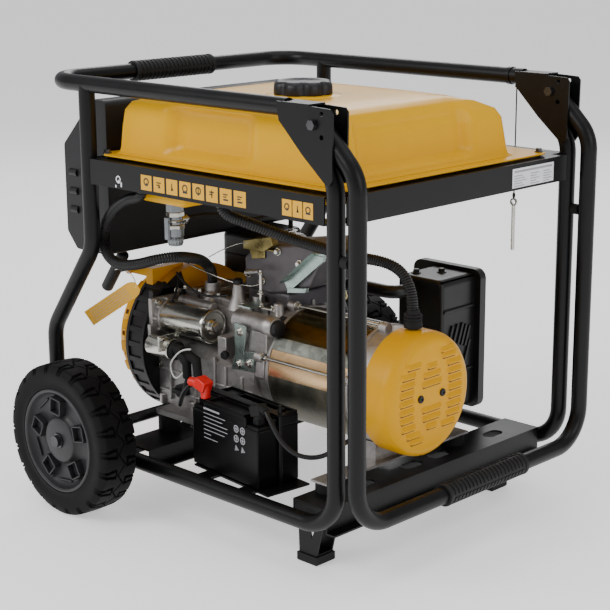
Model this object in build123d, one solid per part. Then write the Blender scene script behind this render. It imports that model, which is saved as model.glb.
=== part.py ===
from build123d import *
import math
import os

# Portable generator: an open tube frame on two wheels carries an engine and an
# alternator on one shaft, with the fuel tank above and the control box at the wheel end.
# X runs along the crankshaft, from the recoil starter (-X) to the alternator (+X).
# The battery side is -Y.  The ground is z = 0, and the origin is the centre of the footprint.

# ---------- driving dimensions, millimetres ----------
TUBE_R = 14.0                 # frame tube, 28 mm outside diameter
TUBE_WALL = 2.0
BEND_R = 65.0                 # usual bend of the frame tubes, on the centre line
SIDE_Y = 290.0                # centre planes of the two side frames
RAIL_Z = 738.0                # top rail
BASE_Z = 93.8                 # bottom rails
POST_X = 321.8                # handle-end posts
WHEEL_POST_X = -252.7         # upper posts at the wheel end
LOW_POST_X = -369.3           # lower posts at the wheel end
TOP_TUBE_X = -360.7           # cross tube of the top rail
HANDLE_X = 364.3              # legs of the folding handle
HANDLE_Z = 108.0              # crossbar of the folding handle
PIVOT = (292.3, 719.0)        # handle hinge, X and Z
PIN_R = 5.0                   # pivot bolt
GRIP_R = 19.0
SHEET = 3.0                   # bracket sheet

WHEEL_X = -240.7
WHEEL_R = 134.0
RIM_R = 92.0
TYRE_Y = (320.0, 395.0)       # inner and outer side of a wheel
AXLE_R = 10.0

CRANK_Y = -44.0               # crankshaft centre line
CRANK_Z = 253.0
CYL_TILT = 25.0               # cylinder, degrees above the horizontal, towards +Y
SHAFT_R = 15.0
FIT = 0.05                    # radial clearance of a running fit

APRON_Z = (571.0, 614.0)
FLANGE_Z = (618.0, 621.0)     # tank seam flange
TANK_TOP = 727.0
CAP_POS = (69.0, -98.0)


# ---------- small helpers ----------
def box(x0, x1, y0, y1, z0, z1):
    """A box between two opposite corners."""
    return Pos((x0 + x1) / 2, (y0 + y1) / 2, (z0 + z1) / 2) * Box(x1 - x0, y1 - y0, z1 - z0)


def rod_x(x0, x1, y, z, r):
    return Pos((x0 + x1) / 2, y, z) * Rot(0, 90, 0) * Cylinder(r, x1 - x0)


def rod_y(x, y0, y1, z, r):
    return Pos(x, (y0 + y1) / 2, z) * Rot(90, 0, 0) * Cylinder(r, y1 - y0)


def rod_z(x, y, z0, z1, r):
    return Pos(x, y, (z0 + z1) / 2) * Cylinder(r, z1 - z0)


def hex_z(x, y, z0, z1, across):
    """A hexagonal head, with its axis along Z."""
    flat = Plane.XY.offset(z0) * Pos(x, y) * RegularPolygon(across / math.sqrt(3), 6)
    return extrude(flat, z1 - z0)


def hex_y(x, y0, y1, z, across):
    """A hexagonal head, with its axis along Y."""
    return Pos(x, y0, z) * Rot(-90, 0, 0) * extrude(RegularPolygon(across / math.sqrt(3), 6), y1 - y0)


def profile_x(points, x0, x1):
    """A closed Y-Z outline, extruded along X."""
    face = Plane(origin=(x0, 0, 0), x_dir=(0, 1, 0), z_dir=(1, 0, 0)) * make_face(Polyline(*points, close=True))
    return extrude(face, x1 - x0)


def profile_y(points, y0, y1):
    """A closed X-Z outline, extruded along Y."""
    face = Plane(origin=(0, y0, 0), x_dir=(1, 0, 0), z_dir=(0, -1, 0)) * make_face(Polyline(*points, close=True))
    return extrude(face, y0 - y1)


def swept(path, radius):
    start = Plane(origin=path @ 0, z_dir=path % 0)
    return sweep(start * Circle(radius), path=path)


def tube(points, radii, r=TUBE_R, wall=TUBE_WALL):
    """A bent tube through the corner points, hollow all the way."""
    path = FilletPolyline(*points, radius=radii)
    return swept(path, r) - swept(path, r - wall)


def soft_radii(points):
    """The largest bend at each inner corner that its two runs allow."""
    spots = [Vector(*p) for p in points]
    radii = []
    for before, here, after in zip(spots, spots[1:], spots[2:]):
        turn = (here - before).get_angle(after - here)
        shorter = min((here - before).length, (after - here).length)
        radii.append(0.45 * shorter / math.tan(math.radians(turn / 2)))
    return radii


def cord(name, points, r):
    """A solid round cord along straight runs and tangent arcs."""
    radii = soft_radii(points)
    path = FilletPolyline(*points, radius=radii)
    print(f"{name}: length {path.length:.0f} mm, bend radii", [round(v) for v in radii])
    return swept(path, r)


def both_sides(shape):
    """The shape at -Y and its mirror image at +Y."""
    return [shape, mirror(shape, about=Plane.XZ)]


def ribbed_grip(x, y0, y1, z, ribs):
    """A rubber sleeve round a tube along Y, with raised end collars and even ribs."""
    grip = rod_y(x, y0, y1, z, GRIP_R)
    pitch = (y1 - y0 - 24.0) / ribs
    for i in range(ribs):
        y = y0 + 12.0 + (i + 0.25) * pitch
        grip -= rod_y(x, y, y + pitch / 2, z, GRIP_R) - rod_y(x, y, y + pitch / 2, z, GRIP_R - 2.0)
    return grip - rod_y(x, y0, y1, z, TUBE_R)


# ---------- frame ----------
def side_frame(y):
    """One bent tube: leaning end, handle-end post, bottom rail, joggled wheel-end post."""
    corners = [
        (POST_X - 86.5, y, 726.5),
        (POST_X, y, 640.0),
        (POST_X, y, BASE_Z),
        (LOW_POST_X, y, BASE_Z),
        (LOW_POST_X, y, 296.0),
        (WHEEL_POST_X, y, 456.0),
        (WHEEL_POST_X, y, RAIL_Z),
    ]
    bent = tube(corners, [BEND_R, BEND_R, BEND_R, 60.0, 60.0])
    return bent - rod_x(WHEEL_POST_X - 40, WHEEL_POST_X + 40, y, RAIL_Z, TUBE_R)


def top_rail():
    end_x = 226.0
    corners = [(end_x, -SIDE_Y, RAIL_Z), (TOP_TUBE_X, -SIDE_Y, RAIL_Z),
               (TOP_TUBE_X, SIDE_Y, RAIL_Z), (end_x, SIDE_Y, RAIL_Z)]
    return tube(corners, [BEND_R, BEND_R])


LOCK_R = 24.0                                # lock holes, from the hinge
LOCK_HOLE_R = 3.8
LOCK_SPOTS = [(PIVOT[0] + LOCK_R * math.cos(a), PIVOT[1] + LOCK_R * math.sin(a))
              for a in (-math.pi / 4, math.pi / 4)]


def pivot_bracket(y):
    """Two gusset plates and the web that joins them over the rail's end."""
    inner = TUBE_R + 0.4
    outline = [(217.3, 748.0), (326.0, 744.0), (331.3, 738.0), (330.0, 641.0), (325.0, 634.0),
               (317.0, 634.0), (269.3, 674.0), (222.3, 720.0)]
    plates = profile_y(outline, y - inner - SHEET, y - inner) + profile_y(outline, y + inner, y + inner + SHEET)
    web = box(228.0, 284.0, y - inner - SHEET, y + inner + SHEET, 745.0, 748.0)
    bracket = plates + web
    bracket -= rod_y(PIVOT[0], y - 30, y + 30, PIVOT[1], PIN_R + 0.2)
    for x, z in LOCK_SPOTS:
        bracket -= rod_y(x, y - 30, y + 30, z, LOCK_HOLE_R)
    return bracket


def hat_channel(x0, x1, z0, z1, shelf):
    """A hat-section cross member between the bottom rails."""
    reach = SIDE_Y - TUBE_R - 0.5
    t = SHEET
    hat = box(x0 + shelf, x1 - shelf, -reach, reach, z1 - t, z1)
    hat += box(x0 + shelf, x0 + shelf + t, -reach, reach, z0, z1)
    hat += box(x1 - shelf - t, x1 - shelf, -reach, reach, z0, z1)
    hat += box(x0, x0 + shelf + t, -reach, reach, z0, z0 + t)
    hat += box(x1 - shelf - t, x1, -reach, reach, z0, z0 + t)
    return hat


def oval_cut(x, y, z, long_y, wide_x):
    slot = box(x - wide_x / 2, x + wide_x / 2, y - long_y / 2 + wide_x / 2, y + long_y / 2 - wide_x / 2,
               z - 12, z + 12)
    for end in (-1, 1):
        slot += rod_z(x, y + end * (long_y - wide_x) / 2, z - 12, z + 12, wide_x / 2)
    return slot


def cross_channels():
    handle_end = hat_channel(199.0, 305.0, 75.0, 118.0, 16.0)
    for y in (-150.0, -30.0, 40.0, 190.0):
        handle_end -= oval_cut(252.0, y, 116.5, 44.0, 24.0)
    wheel_end = hat_channel(-231.0, -116.0, 80.0, 112.0, 18.0)
    for y in (-120.0, 0.0, 120.0, 215.0):
        wheel_end -= oval_cut(-173.5, y, 110.5, 44.0, 24.0)
    return [handle_end, wheel_end]


FOOT_X = 220.3
FOOT_Y = 229.0
PAD_TOP = 15.0


def foot_bracket(y):
    """A tapered sheet channel that stands on the pad and carries the cross member."""
    t = SHEET
    wall = [(FOOT_X - 19, PAD_TOP), (FOOT_X + 19, PAD_TOP), (FOOT_X + 34, 75.0), (FOOT_X - 21, 75.0)]
    sides = profile_y(wall, y - 19, y - 19 + t) + profile_y(wall, y + 19 - t, y + 19)
    notch = [(FOOT_X + 2, 75.0), (FOOT_X + 22, 75.0), (FOOT_X + 8, 44.0)]
    sides -= profile_y(notch, y - 20, y + 20)
    return sides + box(FOOT_X - 19, FOOT_X + 19, y - 19, y + 19, PAD_TOP, PAD_TOP + t)


def axle_bracket(y):
    """A plate that drops from the bottom rail and holds the wheel axle."""
    t = 5.0
    outline = [(WHEEL_X - 30, BASE_Z + 20), (WHEEL_X + 30, BASE_Z + 20), (WHEEL_X + 20, 158.0),
               (WHEEL_X - 20, 158.0)]
    plate = profile_y(outline, y - t / 2, y + t / 2)
    foot = box(WHEEL_X - 30, WHEEL_X + 30, y - 9, y + 9, BASE_Z + TUBE_R, BASE_Z + TUBE_R + 6.2)
    return plate + foot - rod_y(WHEEL_X, y - 20, y + 20, WHEEL_R, AXLE_R + FIT)


def frame_brackets():
    return both_sides(foot_bracket(-FOOT_Y)) + both_sides(axle_bracket(-SIDE_Y)) + [lanyard_clip()]


def foot_pad(y):
    pad = box(FOOT_X - 21.75, FOOT_X + 21.75, y - 21.75, y + 21.75, 0, PAD_TOP)
    return chamfer(pad.edges().group_by(Axis.Z)[0], 2.0)


def front_apron():
    """The sheet channel under the tank's long edge, open towards the inside."""
    x0, x1 = WHEEL_POST_X + TUBE_R + 0.3, POST_X - TUBE_R - 0.3
    outer, inner, t = -300.0, -262.0, 2.5
    apron = box(x0, x1, outer, outer + t, *APRON_Z)
    apron += box(x0, x1, outer, inner, APRON_Z[1] - t, APRON_Z[1])
    return apron + box(x0, x1, outer, inner, APRON_Z[0], APRON_Z[0] + t)


def end_apron(x_face, inward):
    """The same channel across one end, between the posts."""
    t, depth = 2.5, 38.0
    lo, hi = sorted((x_face, x_face + inward * t))
    apron = box(lo, hi, -275.5, 275.5, *APRON_Z)
    lo, hi = sorted((x_face, x_face + inward * depth))
    apron += box(lo, hi, -261.5, 261.5, APRON_Z[1] - t, APRON_Z[1])
    return apron + box(lo, hi, -261.5, 261.5, APRON_Z[0], APRON_Z[0] + t)


NUT_Y = TYRE_Y[1] - 6.0


def wheel_axle():
    return rod_y(WHEEL_X, -NUT_Y - 10, NUT_Y + 10, WHEEL_R, AXLE_R)


TANK_BOLTS = [(-228.0, -270.0), (303.0, -268.0), (-228.0, 236.0), (303.0, 232.0)]


def frame_fasteners():
    """Axle nuts, handle pivot bolts and the four tank screws with their washers."""
    pieces = []
    for s in (-1, 1):
        y0, y1 = sorted((s * (NUT_Y - 7.0), s * (NUT_Y + 2.0)))
        nut = hex_y(WHEEL_X, y0, y1, WHEEL_R, 24.0) - rod_y(WHEEL_X, y0, y1, WHEEL_R, AXLE_R)
        pieces.append(nut)
        y = s * SIDE_Y
        shank = rod_y(PIVOT[0], y - 22, y + 22, PIVOT[1], PIN_R)
        head = hex_y(PIVOT[0], y - 23.5, y - 17.5, PIVOT[1], 14.0)
        lock = hex_y(PIVOT[0], y + 17.5, y + 24.5, PIVOT[1], 14.0)
        pieces.append(shank + head + lock)
    for x, y in TANK_BOLTS:
        screw = rod_z(x, y, APRON_Z[1] + 0.0, FLANGE_Z[1] + 3.0, 3.0)
        screw += rod_z(x, y, FLANGE_Z[1], FLANGE_Z[1] + 1.5, 7.5)
        pieces.append(screw + hex_z(x, y, FLANGE_Z[1] + 1.5, FLANGE_Z[1] + 6.5, 10.0))
    return pieces


# ---------- folding handle ----------
def handle_tube():
    lean = 16.0
    corners = [
        (PIVOT[0] - lean, -SIDE_Y, PIVOT[1] + lean),
        (HANDLE_X, -SIDE_Y, PIVOT[1] - (HANDLE_X - PIVOT[0])),
        (HANDLE_X, -SIDE_Y, HANDLE_Z),
        (HANDLE_X, SIDE_Y, HANDLE_Z),
        (HANDLE_X, SIDE_Y, PIVOT[1] - (HANDLE_X - PIVOT[0])),
        (PIVOT[0] - lean, SIDE_Y, PIVOT[1] + lean),
    ]
    handle = tube(corners, [60.0, BEND_R, BEND_R, 60.0])
    for y in (-SIDE_Y, SIDE_Y):
        half = Pos(PIVOT[0], y, PIVOT[1]) * Rot(0, 45, 0) * Pos(-25, 0, 0) * Box(50, 40, 40)
        handle -= half - rod_y(PIVOT[0], y - 20, y + 20, PIVOT[1], TUBE_R)
        handle -= rod_y(PIVOT[0], y - 20, y + 20, PIVOT[1], PIN_R + FIT)
        handle -= rod_y(LOCK_SPOTS[0][0], y - 20, y + 20, LOCK_SPOTS[0][1], LOCK_HOLE_R)
    return handle


# ---------- wheels ----------
def tyre(s):
    """A solid rubber tyre with rounded shoulders and slanted tread grooves."""
    y0, y1 = sorted((s * TYRE_Y[0], s * TYRE_Y[1]))
    ring = rod_y(WHEEL_X, y0, y1, WHEEL_R, WHEEL_R)
    ring = fillet(ring.edges(), 12.0)
    for i in range(24):
        side = 1 if i % 2 else -1
        groove = Pos(0, (y0 + y1) / 2 + side * 20, WHEEL_R - 2.0) * Rot(0, 0, side * 30) * Box(5, 46, 9)
        ring -= Pos(WHEEL_X, 0, WHEEL_R) * Rot(0, i * 15, 0) * groove
    return ring - rod_y(WHEEL_X, y0, y1, WHEEL_R, RIM_R)


def rim(s):
    """A dished disc with five square windows and a long hub."""
    y0, y1 = sorted((s * TYRE_Y[0], s * TYRE_Y[1]))
    band = rod_y(WHEEL_X, y0 + 2, y1 - 2, WHEEL_R, RIM_R) - rod_y(WHEEL_X, y0, y1, WHEEL_R, RIM_R - 5)
    disc_y = s * (TYRE_Y[1] - 26.0)
    disc = rod_y(WHEEL_X, disc_y - 4, disc_y + 4, WHEEL_R, RIM_R - 4)
    for i in range(5):
        window = Pos(0, disc_y, 56) * Box(24, 20, 22)
        disc -= Pos(WHEEL_X, 0, WHEEL_R) * Rot(0, i * 72 + 18, 0) * window
    hub_y = sorted((s * (TYRE_Y[0] - 8.0), s * (NUT_Y - 8.0)))
    hub = rod_y(WHEEL_X, hub_y[0], hub_y[1], WHEEL_R, 30.0)
    return band + disc + hub - rod_y(WHEEL_X, y0 - 20, y1 + 20, WHEEL_R, AXLE_R + FIT)


# ---------- fuel system ----------
SUMP = (-173.0, -60.0, -248.0, -190.0, 543.0)   # x0, x1, y0, y1 and bottom of the fuel sump


def fuel_tank():
    """Pressed steel tank: a domed upper half, a seam flange and a shallow lower half."""
    across = [(-258, 621), (-250, 703), (-228, 722), (-150, TANK_TOP), (85, TANK_TOP), (170, 682), (176, 621)]
    along = [(-219, 621), (-215, 686), (-172, 716), (-122, TANK_TOP), (236, TANK_TOP), (276, 704), (289, 621)]
    upper = profile_x(across, -222, 292) & profile_y(along, -262, 180)
    flange = Pos(37.5, -16.0, FLANGE_Z[0]) * extrude(RectangleRounded(561, 532, 26), FLANGE_Z[1] - FLANGE_Z[0])
    lower = box(-196, 280, -248, 166, 588, 618)
    sump = box(*SUMP, 592)
    across_in = [(-252, 626), (-245, 700), (-225, 716), (-150, TANK_TOP - 5), (83, TANK_TOP - 5), (164, 679), (170, 626)]
    along_in = [(-213, 626), (-210, 683), (-169, 711), (-122, TANK_TOP - 5), (236, TANK_TOP - 5), (272, 701), (283, 626)]
    cavity = profile_x(across_in, -222, 292) & profile_y(along_in, -262, 180)
    cavity += box(-191, 275, -243, 161, 593, 626.5) + box(-168, -65, -243, -195, 548, 594)
    neck = rod_z(*CAP_POS, TANK_TOP - 4, TANK_TOP + 7, 40.0)
    bore = rod_z(*CAP_POS, 700, TANK_TOP + 8, 30.0)
    outlet = rod_z((SUMP[0] + SUMP[1]) / 2, (SUMP[2] + SUMP[3]) / 2, SUMP[4] - 1, 600, 5.0)
    tank = upper + flange + lower + sump - cavity + neck - bore - outlet
    for x, y in TANK_BOLTS:
        tank -= rod_z(x, y, 610, 630, 3.5)
    return tank


CAP_Z = (TANK_TOP + 0.5, TANK_TOP + 25.0)


def fuel_cap():
    """A lobed screw cap over the neck."""
    cap = rod_z(*CAP_POS, *CAP_Z, 50.0)
    for i in range(8):
        a = math.radians(i * 45 + 10)
        cap -= rod_z(CAP_POS[0] + 56 * math.cos(a), CAP_POS[1] + 56 * math.sin(a), CAP_Z[0] - 1, CAP_Z[1] - 7, 13.0)
    cap = fillet(cap.edges().group_by(Axis.Z)[-1], 5.0)
    cap -= rod_z(*CAP_POS, CAP_Z[0] - 1, TANK_TOP + 8.0, 40.3)
    return cap


VALVE = ((SUMP[0] + SUMP[1]) / 2, (SUMP[2] + SUMP[3]) / 2)
VALVE_Z = 512.0


def fuel_valve():
    """Hexagonal union, body, side spigot and sediment bowl."""
    x, y = VALVE
    valve = hex_z(x, y, 528, SUMP[4] - 0.2, 26.0) + rod_z(x, y, 500, 528, 12.0)
    valve += rod_z(x, y, 486, 500, 15.0) + rod_z(x, y, 470, 486, 12.0)
    valve += rod_y(x, y, y + 30, VALVE_Z, 4.0)
    bore = rod_y(x, y - 15, y + 2, VALVE_Z, 5.0 + FIT)
    return valve - bore


def fuel_valve_lever():
    """A short stem with a thumb lever on its outer end."""
    x, y = VALVE
    stem = rod_y(x, y - 20, y + 1.8, VALVE_Z, 5.0)
    blade = box(x - 4.5, x + 4.5, y - 20, y - 15, VALVE_Z - 30, VALVE_Z + 7)
    return stem + blade


CARB = (-158.0, 100.0, 422.0)      # middle of the carburettor


def fuel_hose():
    x, y = VALVE
    points = [(x, y + 30.2, VALVE_Z), (x, y + 80, VALVE_Z), (x + 8, y + 130, VALVE_Z - 14),
              (x + 2, y + 185, VALVE_Z - 26), (x - 12, y + 240, VALVE_Z - 24), (x - 28, y + 285, VALVE_Z - 22),
              (CARB[0], CARB[1], VALVE_Z - 34), (CARB[0], CARB[1], CARB[2] + 25.2)]
    return cord("fuel_hose", points, 4.5)


# ---------- control box ----------
BOX_X = (-378.0, -252.0)
BOX_Y = (-252.0, 196.0)
BOX_Z = (435.0, 712.0)


def control_box():
    """A moulded housing, open to the outside face, with a chamfered top."""
    outline = [(-371, 466), (-345, 436), (-252, 436), (-252, 706), (-290, 706), (-330, 664), (-371, 622)]
    shell = profile_y(outline, *BOX_Y)
    shell = fillet(shell.edges().filter_by(Axis.Y), 10.0)
    hollow = [(-372, 474), (-341, 444), (-258, 444), (-258, 698), (-287, 698), (-326, 656), (-372, 612)]
    shell -= profile_y(hollow, BOX_Y[0] + 4, BOX_Y[1] - 4)
    for z in (507.0, 540.0, 573.0):
        shell += rod_x(-356, -336, BOX_Y[0] + 2, z, 7.0) & box(-360, -330, BOX_Y[0] - 5, BOX_Y[0] + 3, z - 9, z + 9)
    return shell


PANEL_X = (-375.0, -372.2)
SOCKETS_Y = (-150.0, -70.0)
SOCKET_Z = 520.0
SWITCH_POS = (70.0, 590.0)
KEY_POS = (130.0, 590.0)
METER_POS = (-110.0, 588.0)
EARTH_POS = (150.0, 490.0)
BIG_SOCKET = (30.0, 515.0)


def control_panel():
    """The face plate, cut for what it carries."""
    plate = box(*PANEL_X, BOX_Y[0] + 6, BOX_Y[1] - 6, 476, 616)
    for y in SOCKETS_Y:
        plate -= rod_x(-380, -370, y, SOCKET_Z, 26.0)
    plate -= rod_x(-380, -370, *BIG_SOCKET, 30.0)
    plate -= rod_x(-380, -370, *EARTH_POS, 4.3)
    plate -= rod_x(-380, -370, *KEY_POS, 9.0)
    plate -= box(-380, -370, SWITCH_POS[0] - 14, SWITCH_POS[0] + 14, SWITCH_POS[1] - 20, SWITCH_POS[1] + 20)
    plate -= box(-380, -370, METER_POS[0] - 24, METER_POS[0] + 24, METER_POS[1] - 20, METER_POS[1] + 20)
    return plate


def socket(y, z, r, pins):
    """A socket body with a dished face and blind contact holes."""
    body = rod_x(-377.0, -345.0, y, z, r)
    body -= rod_x(-378.0, -362.0, y, z, r - 5.0)
    for i in range(pins):
        a = math.radians(90 + i * 360 / pins)
        body -= rod_x(-363, -352, y + 10 * math.cos(a), z + 10 * math.sin(a), 2.6)
    return body


def outlet_sockets():
    return [socket(y, SOCKET_Z, 25.8, 2) for y in SOCKETS_Y] + [socket(*BIG_SOCKET, 29.8, 3)]


LID_Z = SOCKET_Z + 29.0


def outlet_lid(y):
    """A spring lid that hangs from a pin over its socket."""
    lid = rod_x(-380.0, -377.4, y, SOCKET_Z, 24.0)
    lid += box(-380.0, -377.4, y - 9, y + 9, SOCKET_Z, LID_Z)
    return lid + rod_y(-378.2, y - 9, y + 9, LID_Z, 2.2)


def breaker_housing():
    y, z = SWITCH_POS
    case = box(-377.0, -340.0, y - 13.8, y + 13.8, z - 19.8, z + 19.8)
    return case - box(-378, -366, y - 9.2, y + 9.2, z - 14.5, z + 14.5)


def breaker_switch():
    """A rocking lever on its own pin, in the breaker's window."""
    y, z = SWITCH_POS
    return rod_y(-370.5, y - 8.8, y + 8.8, z, 3.4) + box(-379.5, -371, y - 8.8, y + 8.8, z - 3, z + 3)


def ignition_key():
    """The key's bow, neck and blade."""
    y, z = KEY_POS
    key = rod_x(-377.0, -350, y, z, 4.5)
    return key + box(-382.0, -376.8, y - 3, y + 3, z - 11, z + 11)


def key_barrel():
    y, z = KEY_POS
    return rod_x(-376.5, -346, y, z, 8.8) - rod_x(-378, -349.5, y, z, 4.5 + FIT)


def voltmeter():
    y, z = METER_POS
    meter = box(-377.5, -345, y - 23.8, y + 23.8, z - 19.8, z + 19.8)
    return meter - box(-378, -376, y - 19, y + 19, z - 9, z + 15)


def earth_stud():
    """Screw, wing nut and the nut behind the panel."""
    y, z = EARTH_POS
    stud = rod_x(-383.0, -358.0, y, z, 4.0)
    wing = rod_x(-379.5, -375.4, y, z, 7.5) + box(-379.5, -376.5, y - 14, y + 14, z - 2, z + 2)
    return stud + wing + rod_x(-371.8, -366, y, z, 8.0)


# ---------- engine ----------
CASE_X = (-250.0, -2.0)
WEB_R = 52.0
THROW = 28.0


def along_cylinder(shape):
    """Turns a shape made along +Z from the crank axis to the cylinder's direction."""
    return Pos(0, CRANK_Y, CRANK_Z) * Rot(-(90 - CYL_TILT), 0, 0) * shape


CYL_X = -118.0


def crankcase():
    """Cast case with a round crank chamber, two bearing bores and a flanged base."""
    outline = [(-150, 150), (-150, 252), (-103, 282), (-103, 340), (30, 340), (62, 300), (62, 150)]
    case = profile_x(outline, *CASE_X)
    case += box(-212, -60, -192, 100, 143, 153)
    for x in (-240.0, -200.0, -60.0, -20.0):
        case += box(x, x + 5, -96, 24, 340, 350)
    case += rod_z(-178, -80, 338, 372, 14.0) + rod_z(-70, -70, 338, 362, 11.0)
    case += rod_x(CASE_X[1], 22.0, CRANK_Y, CRANK_Z, 98.0) - rod_x(CASE_X[1], 22.0, CRANK_Y, CRANK_Z, 92.0)
    chamber = rod_x(CASE_X[0] + 14, CASE_X[1] - 14, CRANK_Y, CRANK_Z, WEB_R + 4)
    bearings = rod_x(CASE_X[0] - 1, CASE_X[1] + 1, CRANK_Y, CRANK_Z, SHAFT_R + FIT)
    mouth = along_cylinder(Pos(CYL_X, 0, 75) * Cylinder(46, 150))
    return case - chamber - bearings - mouth


def cylinder():
    """Finned barrel and head, with a plain bore for the piston."""
    barrel = Pos(CYL_X, 0, 128) * Box(104, 92, 34)
    for i in range(9):
        barrel += Pos(CYL_X, 0, 116 + i * 9.0) * Box(132, 118, 4)
    barrel += Pos(CYL_X, 0, 150) * Box(110, 96, 84)
    bore = Pos(CYL_X, 0, 130) * Cylinder(44 + FIT, 116)
    solid = along_cylinder(barrel - bore)
    return solid - box(-400, 100, -200, 62.2, 0, 500)


def rocker_cover():
    cover = Pos(CYL_X, 0, 207) * Box(88, 78, 28)
    cover = fillet(cover.edges().filter_by(Axis.Z), 12.0)
    cover = fillet(cover.edges().group_by(Axis.Z)[-1], 6.0)
    return along_cylinder(cover)


def piston():
    body = Pos(CYL_X, 0, 130) * Cylinder(44, 46)
    pin_hole = Pos(CYL_X, 0, 126) * Rot(0, 90, 0) * Cylinder(9, 100)
    skirt = Pos(CYL_X, 0, 120) * Cylinder(38, 34)
    return along_cylinder(body - pin_hole - skirt)


def crankshaft():
    """Main shaft, two webs and the crank pin."""
    shaft = rod_x(-318, CYL_X - 42, CRANK_Y, CRANK_Z, SHAFT_R) + rod_x(CYL_X + 42, 232, CRANK_Y, CRANK_Z, SHAFT_R)
    for x in (CYL_X - 42, CYL_X + 22):
        shaft += rod_x(x, x + 20, CRANK_Y, CRANK_Z, WEB_R)
    return shaft + rod_x(CYL_X - 24, CYL_X + 24, CRANK_Y, CRANK_Z + THROW, 17.0)


HOUSING_R = 136.0
HOUSING_X = (-296.0, -251.0)


def fan_housing():
    """The blower shroud round the flywheel fan, with its duct towards the cylinder."""
    ring = rod_x(*HOUSING_X, CRANK_Y, CRANK_Z, HOUSING_R)
    ring += box(HOUSING_X[0], HOUSING_X[1], CRANK_Y - 20, CRANK_Y + 150, CRANK_Z + 20, CRANK_Z + 104)
    ring -= rod_x(HOUSING_X[0] - 1, HOUSING_X[1] - 4, CRANK_Y, CRANK_Z, HOUSING_R - 5)
    return ring - rod_x(HOUSING_X[0] - 1, HOUSING_X[1] + 1, CRANK_Y, CRANK_Z, 40.0)


def flywheel():
    wheel = rod_x(-284, -264, CRANK_Y, CRANK_Z, 104.0)
    for i in range(16):
        blade = Pos(-290, 0, 84) * Box(14, 4, 34)
        wheel += Pos(0, CRANK_Y, CRANK_Z) * Rot(i * 22.5, 0, 0) * blade
    return wheel - rod_x(-300, -260, CRANK_Y, CRANK_Z, SHAFT_R)


RECOIL_FACE = -365.7


def recoil_cover():
    """A slotted dome that carries the pull starter."""
    x0, x1 = RECOIL_FACE, HOUSING_X[0] - 0.5
    outer = [(x0, 0), (x0, 74), (x0 + 5, 94), (x0 + 18, 114), (x1 - 18, 124), (x1 - 12, 138), (x1, 138)]
    inner = [(x1, 135), (x1 - 9, 135), (x1 - 15, 121), (x0 + 20, 111), (x0 + 8, 92), (x0 + 3, 73), (x0 + 3, 0)]
    side = Plane(origin=(0, CRANK_Y, CRANK_Z), x_dir=(1, 0, 0), z_dir=(0, -1, 0))
    face = side * make_face(Polyline(*outer, *inner, close=True))
    dome = revolve(face, axis=Axis((0, CRANK_Y, CRANK_Z), (1, 0, 0)))
    for i in range(12):
        slot = Pos(x0, 0, 54) * Box(20, 9, 34)
        dome -= Pos(0, CRANK_Y, CRANK_Z) * Rot(i * 30, 0, 0) * slot
    for i in range(18):
        vent = Pos(x0 + 34, 0, 116) * Box(20, 9, 20)
        dome -= Pos(0, CRANK_Y, CRANK_Z) * Rot(i * 20 + 5, 0, 0) * vent
    return dome


ROPE = (-343.0, -150.0, 382.0)       # middle of the recoil handle's stem


def rope_guide():
    """A ring on an arm of the fan housing, where the starter rope comes out."""
    ring = rod_y(ROPE[0], ROPE[1] + 10, ROPE[1] + 18, ROPE[2], 11.0)
    ring += box(ROPE[0], HOUSING_X[0] + 20, ROPE[1] + 12, ROPE[1] + 16, ROPE[2] - 8, ROPE[2] + 8)
    ring += box(HOUSING_X[0] + 2, HOUSING_X[0] + 20, ROPE[1] + 12, CRANK_Y - 20, ROPE[2] - 26, ROPE[2] + 8)
    ring -= rod_x(HOUSING_X[0], HOUSING_X[1], CRANK_Y, CRANK_Z, HOUSING_R + 0.2)
    return ring - rod_y(ROPE[0], ROPE[1], ROPE[1] + 30, ROPE[2], 5.5)


def recoil_handle():
    """A bar grip with a stem that rests in the rope guide."""
    lean = math.degrees(math.atan2(116.6, 160.0))
    bar = Pos(ROPE[0], ROPE[1] - 20, ROPE[2]) * Rot(0, lean, 0) * Cylinder(11.0, 92.0)
    bar = fillet(bar.edges(), 5.0)
    return bar + rod_y(ROPE[0], ROPE[1] - 20, ROPE[1] + 20, ROPE[2], 5.0)


def starter_motor():
    """Motor can, mounting nose and the solenoid below it."""
    motor = rod_x(-232, -118, -135, 310, 29.5)
    motor += rod_x(-120, -110, -135, 310, 27.5) + rod_x(-110, -106, -135, 310, 11.0)
    nose = rod_x(-250.5, -232, -135, 310, 31.0)
    nose += box(-250.5, -240, -166, -104.5, 286, 345)
    solenoid = rod_x(-238, -178, -174, 264, 19.0) + rod_x(-178, -163, -174, 264, 8.0)
    strap = box(-246, -238, -178, -160, 264, 300)
    return motor + nose + solenoid + strap


def carburettor():
    """Body with its throat along X, float bowl and fuel inlet."""
    x, y, z = CARB
    body = rod_x(x - 28, x + 28, y, z, 17.0) + box(x - 18, x + 18, y - 16, y + 16, z - 14, z + 14)
    body += rod_z(x, y, z - 34, z - 14, 15.0) + rod_z(x, y, z, z + 25, 5.0)
    body -= rod_x(x - 30, x + 30, y, z, 11.0)
    return body - rod_z(x + 14, y - 4, z + 5, z + 20, 2.5 + FIT)


def choke_lever():
    """A small pressed lever on the choke spindle."""
    x, y, z = CARB
    spindle = rod_z(x + 14, y - 4, z + 5.2, z + 22, 2.5)
    return spindle + box(x + 10, x + 18, y - 46, y, z + 22, z + 24)


FILTER_X = (-290.0, -190.0)


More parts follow.
